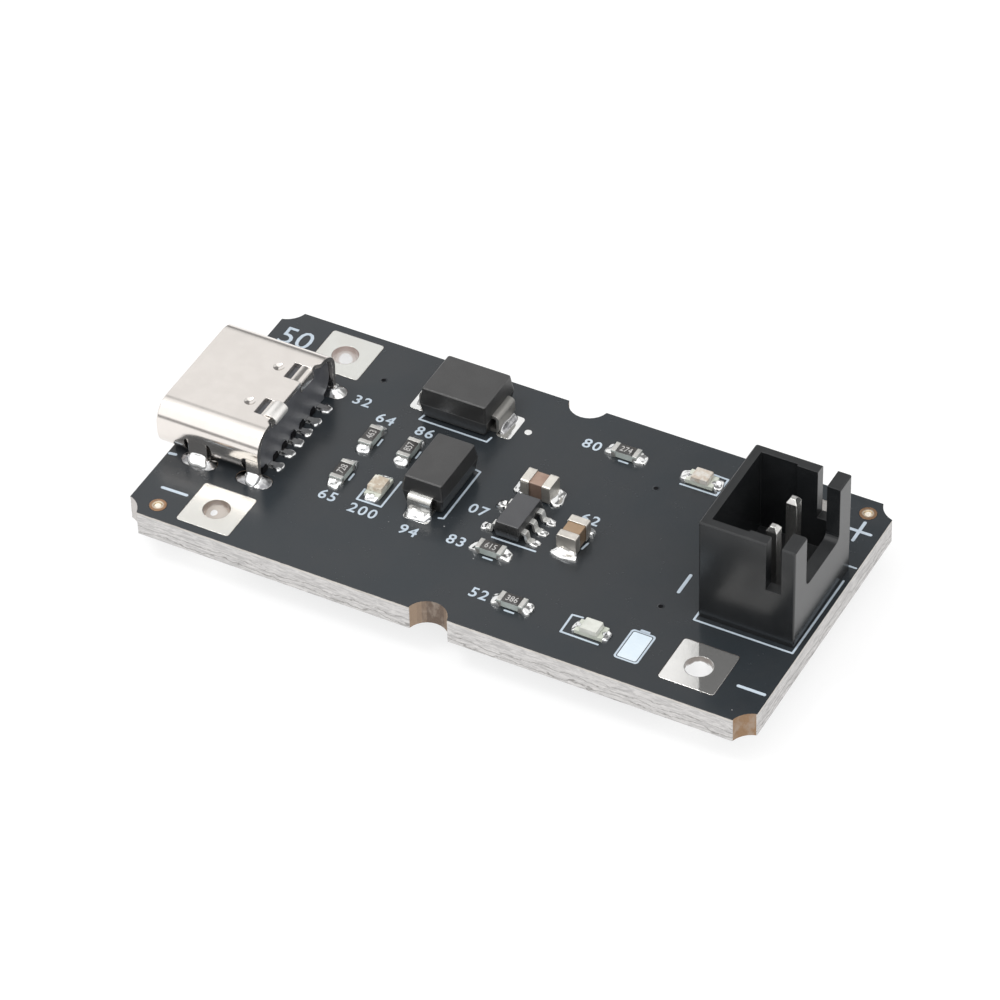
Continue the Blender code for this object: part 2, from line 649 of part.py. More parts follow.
def leg_solder(width):
    land_length = LEG_SLOT_LENGTH + 2 * LEG_LAND_MARGIN
    land_width = LEG_SLOT_WIDTH + 2 * LEG_LAND_MARGIN
    thin_length = width + 2 * (SEAT_GAP + SOLDER_WALL)
    thin_width = leg_thickness + 2 * (SEAT_GAP + SOLDER_WALL)
    reach = max(LEG_SOLDER_HEIGHT, LEG_BELOW_BOARD + SEAT_GAP + SOLDER_WALL)
    upper = zip(fillet_sizes(land_length, thin_length, LEG_SOLDER_HEIGHT),
                fillet_sizes(land_width, thin_width, LEG_SOLDER_HEIGHT))
    upper = [at_height(stadium(length, wide), BOARD_TOP + z)
             for (length, z), (wide, _) in upper]
    lower = zip(fillet_sizes(land_length, thin_length, reach),
                fillet_sizes(land_width, thin_width, reach))
    lower = [at_height(stadium(length, wide), -z) for (length, z), (wide, _) in lower]
    low = MASK_DEPTH - SEAT_GAP
    return loft(lower[::-1] + [at_height(slot_land, low), at_height(slot_fill, low),
                               at_height(slot_fill, BOARD_TOP - low),
                               at_height(slot_land, BOARD_TOP - low)] + upper)


for name, x, side, width in legs:
    y = side * leg_y
    fill = piece("usb_solder_" + name, leg_solder(width), solder, (x, y, 0.0),
                 smooth=ROUND_ANGLE)
    pocket = upright(leg_outline(width, SEAT_GAP), -leg_thickness / 2 - SEAT_GAP,
                     leg_thickness / 2 + SEAT_GAP)
    boolean(fill, helper("cut_solder_" + name, pocket, (x, y, 0.0)), "DIFFERENCE")
    boolean(board, helper("cut_slot_" + name, spool(slot_opening, slot), (x, y, 0.0)),
            "DIFFERENCE")

# USB-C moulding: the base fills the back of the shell and carries the tongue
base_back = shell_back - BASE_REAR_SETBACK
base_front = base_back - BASE_LENGTH
tongue_tip_x = mouth_x + TONGUE_SETBACK
tongue_width = inner_width - 2 * TONGUE_SIDE
root_width = inner_width - 2 * TONGUE_ROOT_SIDE
base_section = rounded_rectangle(inner_width - 2 * SEAT_GAP, inner_height - 2 * SEAT_GAP,
                                 SHELL_CORNER - SHELL_WALL - SEAT_GAP, FINE_STEPS)
moulding = piece("usb_moulding", across([(y, z + shell_middle) for y, z in base_section],
                                        base_front, base_back), socket_plastic)
boolean(moulding, helper("base_foot", block(
    floor_plate_back + BASE_FOOT_FRONT, base_back,
    -rear_span / 2 + SEAT_GAP, rear_span / 2 - SEAT_GAP,
    SEAT_TOP + BASE_FOOT_CLEARANCE, shell_middle)), "UNION")


def tongue_section(width, thickness, x):
    outline = rounded_rectangle(width, thickness, TONGUE_CORNER, 2)
    return at_station([(y, z + shell_middle) for y, z in outline], x)


boolean(moulding, helper("tongue", loft([
    tongue_section(tongue_width - 2 * TONGUE_TIP, TONGUE_THICKNESS - 2 * TONGUE_TIP,
                   tongue_tip_x),
    tongue_section(tongue_width, TONGUE_THICKNESS, tongue_tip_x + TONGUE_TIP),
    tongue_section(tongue_width, TONGUE_THICKNESS, base_front + WELD_OVERLAP),
])), "UNION")
boolean(moulding, helper("tongue_root", loft([
    tongue_section(root_width, TONGUE_ROOT_THICKNESS, base_front - TONGUE_ROOT_LENGTH),
    tongue_section(root_width, TONGUE_ROOT_THICKNESS, base_front + WELD_OVERLAP),
])), "UNION")
for side in (-1, 1):
    y = side * tab_offset
    half = TAB_SLOT_SPAN / 2 + WELD_OVERLAP + SEAT_GAP
    boolean(moulding, helper("cut_tab_room_near" if side < 0 else "cut_tab_room_far", block(
        tab_front - SEAT_GAP, base_back + CUT_MARGIN, y - half, y + half,
        tab_z - TAB_DROP - SEAT_GAP, shell_top)), "DIFFERENCE")

# USB-C contacts: along the tongue, down through the base and out to a foot on the board
contact_front = tongue_tip_x + CONTACT_FROM_TIP
contact_drop = base_back - CONTACT_DROP_FROM_BACK
contact_back = base_back + CONTACT_FOOT
foot_z = SEAT_TOP + CONTACT_THICKNESS / 2
jog_start = base_front
jog_end = contact_drop - CONTACT_BEND - CONTACT_THICKNESS
contact_pitch = (tongue_width / 2 - CONTACT_FROM_SIDE) / OUTER_CONTACT
for number, (tongue_place, board_place, face) in enumerate(CONTACTS, 1):
    rise = TONGUE_THICKNESS / 2 + CONTACT_PROUD - CONTACT_THICKNESS / 2
    run_z = shell_middle + face * rise
    route = rounded_path([(contact_front, run_z), (contact_drop, run_z),
                          (contact_drop, foot_z), (contact_back, foot_z)], CONTACT_BEND)
    route[1:1] = [Vector((jog_start, run_z)), Vector((jog_end, run_z))]

    def y_at(x, first=tongue_place * contact_pitch, last=board_place * contact_pitch):
        share = min(1.0, max(0.0, (x - jog_start) / (jog_end - jog_start)))
        return first + (last - first) * share

    piece("usb_contact_%d" % number, strip(route, CONTACT_WIDTH, CONTACT_THICKNESS, y_at), gold)
    boolean(moulding, helper("cut_contact_%d" % number, strip(
        route, CONTACT_WIDTH, CONTACT_THICKNESS, y_at, SEAT_GAP)), "DIFFERENCE")

# Battery header: an open box with two key slots, a wide notch to the front and ribs beside the slots
header_x = half_length - HEADER_FROM_END - HEADER_LENGTH / 2
header_base = SEAT_TOP
header_top = header_base + HEADER_HEIGHT
header_place = (header_x, HEADER_OFFSET, 0.0)
header = piece("battery_header_housing", loft([
    at_height(rounded_rectangle(HEADER_LENGTH, HEADER_WIDTH, HEADER_CORNER, CORNER_STEPS), z)
    for z in (header_base, header_top - HEADER_EDGE)
] + [at_height(rounded_rectangle(HEADER_LENGTH - 2 * HEADER_EDGE, HEADER_WIDTH - 2 * HEADER_EDGE,
                                 HEADER_CORNER - HEADER_EDGE / 2, CORNER_STEPS), header_top)]),
    header_plastic, header_place)

front_face = HEADER_LENGTH / 2
front_inner = front_face - FRONT_WALL
back_inner = -front_face + BACK_WALL
side_inner = HEADER_WIDTH / 2 - SIDE_WALL
slot_back = front_inner - KEY_SLOT_WIDTH
rib_start = slot_back - RIB_LENGTH
rib_inner = side_inner - RIB_THICKNESS
cavity = [(back_inner, -side_inner), (rib_start, -side_inner), (rib_start, -rib_inner),
          (front_inner, -rib_inner), (front_inner, rib_inner), (rib_start, rib_inner),
          (rib_start, side_inner), (back_inner, side_inner)]
boolean(header, helper("cut_header_cavity", extruded(
    cavity, header_base + HEADER_FLOOR, header_top + CUT_MARGIN), header_place), "DIFFERENCE")
boolean(header, helper("cut_key_slots", block(
    slot_back, front_inner, -HEADER_WIDTH / 2 - CUT_MARGIN, HEADER_WIDTH / 2 + CUT_MARGIN,
    header_base + KEY_SLOT_FLOOR, header_top + CUT_MARGIN), header_place), "DIFFERENCE")
notch_height = HEADER_HEIGHT - FRONT_NOTCH_FLOOR + CUT_MARGIN + FRONT_NOTCH_CORNER
notch_middle = header_base + FRONT_NOTCH_FLOOR + notch_height / 2
notch = [(y, z + notch_middle) for y, z in rounded_rectangle(
    HEADER_WIDTH - 2 * FRONT_NOTCH_SIDE, notch_height, FRONT_NOTCH_CORNER)]
boolean(header, helper("cut_front_notch", across(
    notch, front_inner - KEY_SLOT_WIDTH / 2, front_face + CUT_MARGIN), header_place),
    "DIFFERENCE")

# Header pins, with pointed ends, and their solder
pin_x = half_length - HEADER_FROM_END - PIN_FROM_FRONT
pin_places = (
    ("1", HEADER_OFFSET - PIN_PITCH / 2),
    ("2", HEADER_OFFSET + PIN_PITCH / 2),
)


def square(size):
    half = size / 2
    return [(half, half), (-half, half), (-half, -half), (half, -half)]


for number, y in pin_places:
    place = (pin_x, y, 0.0)
    pin_top = header_base + PIN_TOP
    piece("battery_header_pin_" + number, loft([
        at_height(square(PIN_POINT_SIZE), -PIN_TAIL),
        at_height(square(PIN_SIZE), -PIN_TAIL + PIN_POINT),
        at_height(square(PIN_SIZE), pin_top - PIN_POINT),
        at_height(square(PIN_POINT_SIZE), pin_top),
    ]), pin_metal, place)
    hole = square(PIN_SIZE + 2 * SEAT_GAP)
    boolean(header, helper("cut_pin_hole_" + number, extruded(
        hole, header_base - CUT_MARGIN, header_base + HEADER_FLOOR + CUT_MARGIN), place),
        "DIFFERENCE")
    boolean(board, helper("cut_pin_land_" + number, spool(
        matched_circle(PIN_LAND_RADIUS + SEAT_GAP), matched_circle(PIN_HOLE_RADIUS)), place),
        "DIFFERENCE")
    low = MASK_DEPTH - SEAT_GAP
    thin = PIN_SIZE / sqrt(2) + SEAT_GAP + SOLDER_WALL
    flare = [at_height(matched_circle(radius), -z)
             for radius, z in fillet_sizes(PIN_LAND_RADIUS, thin, PIN_SOLDER_HEIGHT)]
    fill = piece("header_solder_" + number, loft(flare[::-1] + [
        at_height(matched_circle(PIN_LAND_RADIUS), low),
        at_height(matched_circle(PIN_HOLE_RADIUS - SEAT_GAP), low),
        at_height(matched_circle(PIN_HOLE_RADIUS - SEAT_GAP), BOARD_TOP - low),
        at_height(matched_circle(PIN_LAND_RADIUS), BOARD_TOP - low),
        at_height(matched_circle(PIN_LAND_RADIUS), BOARD_TOP)]), solder, place,
        smooth=ROUND_ANGLE)
    boolean(fill, helper("cut_solder_pin_" + number, extruded(
        hole, -PIN_TAIL - CUT_MARGIN, BOARD_TOP + CUT_MARGIN), place), "DIFFERENCE")


run_start = shell_back
run_end = header_x - HEADER_LENGTH / 2


def set_out(name):
    """Where a part between the socket and the header stands, and its turn."""
    share, edge, inset, turn = PLACES[name]
    y = edge * (half_width - inset) if edge else inset
    return (run_start + (run_end - run_start) * share, y, 0.0), turn


# Moulded diodes: a body with a parting line and draft, and two leads folded into recesses
# under it
def moulded_body(length, width, low, parting, high, draft, edge, corner):
    def ring(inset, z):
        outline = rounded_rectangle(length - 2 * inset, width - 2 * inset, corner, CORNER_STEPS)
        return at_height(outline, z)
    return loft([ring(draft + edge, low), ring(draft, low + edge), ring(0.0, parting),
                 ring(draft, high - edge), ring(draft + edge, high)])


def diode(name, length, width, height, lead_width):
    place, turn = set_out(name)
    body = piece(name + "_body", moulded_body(
        length, width, BOARD_TOP + DIODE_STANDOFF, BOARD_TOP + DIODE_PARTING,
        BOARD_TOP + height, DIODE_DRAFT, DIODE_EDGE, DIODE_CORNER), epoxy, place, turn)
    parting = BOARD_TOP + DIODE_PARTING
    fold = length / 2 + DIODE_LEAD_REACH - DIODE_LEAD_THICKNESS / 2
    foot = SEAT_TOP + DIODE_LEAD_THICKNESS / 2
    recess = lead_width / 2 + DIODE_RECESS_CLEAR
    route = rounded_path([
        (length / 2 - DIODE_LEAD_ROOT, parting), (fold, parting), (fold, foot),
        (length / 2 + DIODE_LEAD_REACH - DIODE_LEAD_FOOT, foot)], DIODE_LEAD_BEND)
    for end, extra in (("a", 0.0), ("b", pi)):
        piece("%s_lead_%s" % (name, end), strip(route, lead_width, DIODE_LEAD_THICKNESS),
              lead_metal, place, turn + extra)
        boolean(body, helper("cut_%s_%s" % (name, end), strip(
            route[:2], lead_width, DIODE_LEAD_THICKNESS, None, SEAT_GAP), place, turn + extra),
            "DIFFERENCE")
        boolean(body, helper("cut_recess_%s_%s" % (name, end), block(
            length / 2 + DIODE_LEAD_REACH - DIODE_LEAD_FOOT - DIODE_RECESS_CLEAR,
            length / 2 + CUT_MARGIN, -recess, recess, BOARD_TOP - CUT_MARGIN,
            SEAT_TOP + DIODE_LEAD_THICKNESS + DIODE_RECESS_CLEAR), place, turn + extra),
            "DIFFERENCE")


diode("input_diode", **INPUT_DIODE)
diode("output_diode", **OUTPUT_DIODE)

# Charger chip: five leads, three on the header's side and two on the socket's
chip_place, _ = set_out("charger_chip")
chip_parting = BOARD_TOP + CHIP_PARTING
chip = piece("charger_chip_body", moulded_body(
    CHIP_WIDTH, CHIP_LENGTH, BOARD_TOP + CHIP_STANDOFF, chip_parting, BOARD_TOP + CHIP_HEIGHT,
    CHIP_DRAFT, CHIP_EDGE, CHIP_CORNER), epoxy, chip_place)
chip_foot = SEAT_TOP + CHIP_LEAD_THICKNESS / 2
knee = CHIP_WIDTH / 2 + CHIP_LEAD_SHOULDER
toe = CHIP_LEAD_SPAN / 2
ankle = max(knee, toe - CHIP_LEAD_FOOT)
chip_route = rounded_path([
    (CHIP_WIDTH / 2 - CHIP_LEAD_ROOT, chip_parting), (knee, chip_parting),
    (ankle, chip_foot), (toe, chip_foot)], CHIP_LEAD_BEND, 2)
chip_leads = ((1, -1), (1, 0), (1, 1), (-1, 1), (-1, -1))
for number, (side, row) in enumerate(chip_leads, 1):
    place = (chip_place[0], chip_place[1] + row * CHIP_LEAD_PITCH, 0.0)
    turn = 0.0 if side > 0 else pi
    piece("charger_chip_lead_%d" % number, strip(
        chip_route, CHIP_LEAD_WIDTH, CHIP_LEAD_THICKNESS), lead_metal, place, turn)
    boolean(chip, helper("cut_chip_lead_%d" % number, strip(
        chip_route[:2], CHIP_LEAD_WIDTH, CHIP_LEAD_THICKNESS, None, SEAT_GAP), place, turn),
        "DIFFERENCE")


# Ceramic capacitors: a core with a metal cap over each end
def rounded_bar(length, width, height, corner, low, shift=0.0):
    outline = rounded_rectangle(width, height, corner, 2)
    middle = low + height / 2
    start = shift - length / 2
    return across([(y, z + middle) for y, z in outline], start, start + length)


for name in ("input_capacitor", "battery_capacitor"):
    place, turn = set_out(name)
    inset = CAPACITOR_CAP_WALL + SEAT_GAP
    piece(name + "_core", rounded_bar(
        CAPACITOR_LENGTH - 2 * inset, CAPACITOR_WIDTH - 2 * inset, CAPACITOR_HEIGHT - 2 * inset,
        CAPACITOR_ROUND, SEAT_TOP + inset), ceramic, place, turn)
    for end, extra in (("a", 0.0), ("b", pi)):
        shift = CAPACITOR_LENGTH / 2 - CAPACITOR_BAND / 2
        cap = piece("%s_end_%s" % (name, end), rounded_bar(
            CAPACITOR_BAND, CAPACITOR_WIDTH, CAPACITOR_HEIGHT,
            CAPACITOR_ROUND + CAPACITOR_CAP_WALL, SEAT_TOP, shift), end_metal, place,
            turn + extra)
        boolean(cap, helper("cut_%s_%s" % (name, end), rounded_bar(
            CAPACITOR_BAND, CAPACITOR_WIDTH - 2 * CAPACITOR_CAP_WALL,
            CAPACITOR_HEIGHT - 2 * CAPACITOR_CAP_WALL, CAPACITOR_ROUND + SEAT_GAP,
            SEAT_TOP + CAPACITOR_CAP_WALL, shift - CAPACITOR_CAP_WALL), place, turn + extra),
            "DIFFERENCE")


# Chip resistors: a thin bar with a raised metal band at each end
def banded_bar(length, width, height, band, rise, low):
    stations = ((-length / 2, 0.0), (-length / 2 + band, 0.0), (-length / 2 + band, rise),
                (length / 2 - band, rise), (length / 2 - band, 0.0), (length / 2, 0.0))
    middle = low + height / 2
    rows = []
    for x, inset in stations:
        y = width / 2 - inset
        z = height / 2 - inset
        rows.append([(x, -y, middle - z), (x, y, middle - z), (x, y, middle + z),
                     (x, -y, middle + z)])
    return loft(rows)


for number in range(1, 7):
    name = "resistor_%d" % number
    place, turn = set_out(name)
    piece(name, banded_bar(RESISTOR_LENGTH, RESISTOR_WIDTH, RESISTOR_HEIGHT, RESISTOR_BAND,
                           RESISTOR_BAND_RISE, SEAT_TOP), resistor_body, place, turn)


# Lamps: a base with a half-round notch in each end, and a lens moulded on it
def lamp_outline():
    half = LAMP_LENGTH / 2
    side = LAMP_WIDTH / 2
    right = arc(half, 0.0, LAMP_NOTCH_RADIUS, -pi / 2, -3 * pi / 2, ROUND_STEPS)
    left = arc(-half, 0.0, LAMP_NOTCH_RADIUS, pi / 2, -pi / 2, ROUND_STEPS)
    return [(half, -side)] + right + [(half, side), (-half, side)] + left + [(-half, -side)]


for name in ("power_lamp", "charging_lamp", "charged_lamp"):
    place, turn = set_out(name)
    base_top = SEAT_TOP + LAMP_BASE_HEIGHT
    piece(name + "_base", extruded(lamp_outline(), SEAT_TOP, base_top), lamp_base, place, turn)
    lens_low = at_height(rounded_rectangle(LAMP_LENS_LENGTH, LAMP_WIDTH, LAMP_LENS_DRAFT, 2),
                         base_top + SEAT_GAP)
    lens_high = at_height(rounded_rectangle(
        LAMP_LENS_LENGTH - 2 * LAMP_LENS_DRAFT, LAMP_WIDTH - LAMP_LENS_DRAFT,
        LAMP_LENS_DRAFT, 2), SEAT_TOP + LAMP_HEIGHT)
    piece(name + "_lens", loft([lens_low, lens_high]), lamp_lens, place, turn)
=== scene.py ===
import math

import bmesh
import bpy
import numpy as np
from mathutils import Matrix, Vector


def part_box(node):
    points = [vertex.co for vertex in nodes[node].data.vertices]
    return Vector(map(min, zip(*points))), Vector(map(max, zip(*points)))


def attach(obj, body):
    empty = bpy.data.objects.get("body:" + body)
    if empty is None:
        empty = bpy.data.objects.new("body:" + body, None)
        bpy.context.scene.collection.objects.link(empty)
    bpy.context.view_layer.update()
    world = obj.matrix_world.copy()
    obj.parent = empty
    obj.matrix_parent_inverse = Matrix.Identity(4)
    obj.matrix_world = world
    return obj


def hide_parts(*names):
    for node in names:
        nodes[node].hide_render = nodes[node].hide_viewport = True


# The looks of a bare charger board. Lengths in the tables are millimetres in the CAD frame:
# +X runs from the charging socket to the battery header, +Z is up, zero is the middle of the underside.
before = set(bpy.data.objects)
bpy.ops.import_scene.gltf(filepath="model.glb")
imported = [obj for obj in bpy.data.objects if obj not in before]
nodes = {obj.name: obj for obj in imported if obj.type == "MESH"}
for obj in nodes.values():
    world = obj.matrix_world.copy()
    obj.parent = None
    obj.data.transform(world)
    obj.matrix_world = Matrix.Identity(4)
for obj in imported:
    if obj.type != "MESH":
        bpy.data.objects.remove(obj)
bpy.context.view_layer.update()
print("frame loaded:", len(nodes), "nodes")

mm = 0.001
halfLong, halfWide, boardTop = (round(value / mm, 3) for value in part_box("circuit_board")[1])


# Shader helpers

def add(tree, kind, inputs=None, **settings):
    # a shader node with its settings; each input is given a value or another node's output
    node = tree.nodes.new("ShaderNode" + kind)
    for key, value in settings.items():
        setattr(node, key, value)
    for key, value in (inputs or {}).items():
        if isinstance(value, bpy.types.NodeSocket):
            tree.links.new(value, node.inputs[key])
        else:
            node.inputs[key].default_value = value
    return node


def calc(tree, operation, first, second=0.0, third=0.0):
    # one sum on up to three values
    return add(tree, "Math", {0: first, 1: second, 2: third}, operation=operation).outputs[0]


def times(tree, first, *others):
    # the product of all the values
    for value in others:
        first = calc(tree, "MULTIPLY", first, value)
    return first


def between(tree, share, first, second):
    # first plus share of the way to second
    return calc(tree, "MULTIPLY_ADD", share, calc(tree, "SUBTRACT", second, first), first)


def blend(tree, share, first, second):
    # the same for colours; a plain one is given a full alpha
    first, second = ((*colour, 1) if isinstance(colour, tuple) else colour for colour in (first, second))
    return add(tree, "Mix", {0: share, 6: first, 7: second}, data_type="RGBA").outputs[2]


def spread(tree, value, low, high, outLow=0.0, outHigh=1.0):
    # the value from low..high laid over outLow..outHigh, eased at both ends
    return add(tree, "MapRange", {0: value, 1: low, 2: high, 3: outLow, 4: outHigh},
               interpolation_type="SMOOTHSTEP").outputs[0]


def place(tree, stretch=(1, 1, 1)):
    # where a point is on the object, in millimetres, drawn out along each axis
    coordinate = add(tree, "TexCoord").outputs["Object"]
    return add(tree, "Mapping", {0: coordinate, "Scale": [s / mm for s in stretch]}).outputs[0]


def axes(tree, vector):
    # the three parts of a vector
    return add(tree, "SeparateXYZ", {0: vector}).outputs


def facing(tree):
    # the three parts of the way that the surface faces
    return axes(tree, add(tree, "NewGeometry").outputs["True Normal"])


def noise(tree, vector, scale, detail=3.0, rough=0.55, distortion=0.0):
    # cloudy values about 0.5: each finer layer is twice as fine as the last, and rough times as strong
    return add(tree, "TexNoise", {"Vector": vector, "Scale": scale, "Detail": detail, "Roughness": rough,
                                  "Distortion": distortion}).outputs[0]


def distance(tree, split, centre):
    # how far a point lies from an upright axis: the root of the two squares
    across = [calc(tree, "SUBTRACT", split[i], centre[i]) for i in range(2)]
    squares = [times(tree, value, value) for value in across]
    return calc(tree, "POWER", calc(tree, "ADD", *squares), 0.5)


def newGroup(name, ins, outs):
    # an empty shared effect with its sockets
    tree = bpy.data.node_groups.new(name, "ShaderNodeTree")
    for direction, sockets in (("INPUT", ins), ("OUTPUT", outs)):
        for socket, kind, value in sockets:
            made = tree.interface.new_socket(name=socket, in_out=direction, socket_type="NodeSocket" + kind)
            if value is not None:
                made.default_value = value
    return tree, tree.nodes.new("NodeGroupInput"), tree.nodes.new("NodeGroupOutput")


def makeGrain():
    # fine grain: two sizes of noise give a shade, a change of roughness and a bumped normal
    tree, given, out = newGroup(
        "fine_grain",
        [("Place", "Vector", None), ("Size", "Float", 6.0), ("Depth", "Float", 0.2), ("Spread", "Float", 0.1),
         ("Shade", "Float", 0.1), ("Normal", "Vector", None)],
        [("Shade", "Float", None), ("Roughness", "Float", None), ("Normal", "Vector", None)])
    fine = noise(tree, given.outputs["Place"], given.outputs["Size"], 5.0, 0.6)
    broad = noise(tree, given.outputs["Place"], times(tree, given.outputs["Size"], 0.17), 2.0)
    both = calc(tree, "ADD", times(tree, fine, 0.5), times(tree, broad, 0.5))
    middle = times(tree, calc(tree, "SUBTRACT", both, 0.5), 2.0)
    shade = calc(tree, "MULTIPLY_ADD", middle, given.outputs["Shade"], 1.0)
    rough = times(tree, middle, given.outputs["Spread"])
    bump = add(tree, "Bump", {"Strength": given.outputs["Depth"], "Distance": 0.02 * mm, "Height": fine,
                              "Normal": given.outputs["Normal"]})
    for socket, value in (("Shade", shade), ("Roughness", rough), ("Normal", bump.outputs[0])):
        tree.links.new(value, out.inputs[socket])
    return tree


def makeEdges():
    # worn edges: where the rounded normal leaves the true one, broken up by noise
    tree, given, out = newGroup(
        "worn_edges", [("Place", "Vector", None), ("Radius", "Float", 0.04 * mm)],
        [("Wear", "Float", None), ("Normal", "Vector", None)])
    rounded = add(tree, "Bevel", {"Radius": given.outputs["Radius"]}, samples=6).outputs[0]
    true = add(tree, "NewGeometry").outputs["True Normal"]
    turn = add(tree, "VectorMath", {0: rounded, 1: true}, operation="DOT_PRODUCT").outputs["Value"]
    edge = spread(tree, calc(tree, "SUBTRACT", 1.0, turn), 0.01, 0.22)
    broken = spread(tree, noise(tree, given.outputs["Place"], 5.0), 0.35, 0.6, 0.25, 1.0)
    tree.links.new(times(tree, edge, broken), out.inputs["Wear"])
    tree.links.new(rounded, out.inputs["Normal"])
    return tree


grainGroup = makeGrain()
edgeGroup = makeEdges()


def newMaterial(name):
    # an empty material and its node tree
    material = bpy.data.materials.new(name)
    material.use_nodes = True
    tree = material.node_tree
    tree.nodes.clear()
    return material, tree


def grained(tree, where, edge, size, depth, uneven, shade):
    # both shared effects: the edges' wear, and the grain, whose normal starts from the rounded edges
    edges = add(tree, "Group", {"Place": where, "Radius": edge * mm}, node_tree=edgeGroup).outputs
    grain = add(tree, "Group", {"Place": where, "Size": size, "Depth": depth, "Spread": uneven,
                                "Shade": shade, "Normal": edges["Normal"]}, node_tree=grainGroup).outputs
    return edges["Wear"], grain


def shadedBy(tree, colour, value):
    # the colour made darker or brighter
    return add(tree, "HueSaturation", {"Color": colour, "Value": value}).outputs[0]


def close(tree, inputs):
    # a principled shader with these inputs goes to the surface
    shader = add(tree, "BsdfPrincipled", inputs)
    tree.links.new(shader.outputs[0], add(tree, "OutputMaterial").inputs["Surface"])


# What a finish has unless its own entry says otherwise. Grain is how fine the grain is, depth its bump,
# spread its change of the roughness and shade its change of the colour; cloud is how small the patches of the
# second colour are; edge is the width of the worn edges, worn their colour and wear how far they take it;
# stretch lengthens the pattern along an axis where it is under 1.
plainFinish = {"stretch": (1, 1, 1), "grain": 6.0, "depth": 0.2, "spread": 0.10, "shade": 0.08, "cloud": 0.8,
               "edge": 0.03, "wear": 0.3, "metal": 0.0, "specular": 0.5, "coat": 0.0, "coatRough": 0.1}
sideTurn = (0.3, 0.8)   # the upward part of a normal, between a side and a top
seamLine = {"width": (0.01, 0.05), "shown": 0.6}   # how far the parting line fades out, and how much it shows


def finishOf(name, own):
    # a plain finish: one colour mottled towards a second, fine grain, uneven roughness and worn edges
    look = {**plainFinish, "second": own["colour"], "worn": own["colour"], **own}
    material, tree = newMaterial(name)
    where = place(tree, look["stretch"])
    wear, grain = grained(tree, where, *(look[key] for key in ("edge", "grain", "depth", "spread", "shade")))
    cloud = spread(tree, noise(tree, where, look["cloud"], 3.0), 0.35, 0.65)
    colour = blend(tree, cloud, look["colour"], look["second"])
    shade, rough = grain["Shade"], look["rough"]
    # painted shade: an upright face keeps only side of its colour, so the sides are darker than the tops
    if "side" in look:
        upward = facing(tree)[2]
        shade = times(tree, shade, spread(tree, upward, *sideTurn, look["side"], 1.0))
        rough = spread(tree, upward, *sideTurn, look.get("sideRough", rough), rough)
    colour = shadedBy(tree, colour, shade)
    if "seam" in look:
        away = calc(tree, "ABSOLUTE", calc(tree, "SUBTRACT", axes(tree, where)[2], look["seam"]))
        seam = spread(tree, away, *seamLine["width"], seamLine["shown"], 0.0)
        colour = blend(tree, seam, colour, look["worn"])
    colour = blend(tree, times(tree, wear, look["wear"]), colour, look["worn"])
    close(tree, {"Base Color": colour, "Roughness": calc(tree, "ADD", rough, grain["Roughness"]),
                 "Metallic": look["metal"], "Normal": grain["Normal"], "Specular IOR Level": look["specular"],
                 "Coat Weight": look["coat"], "Coat Roughness": look["coatRough"]})
    return material
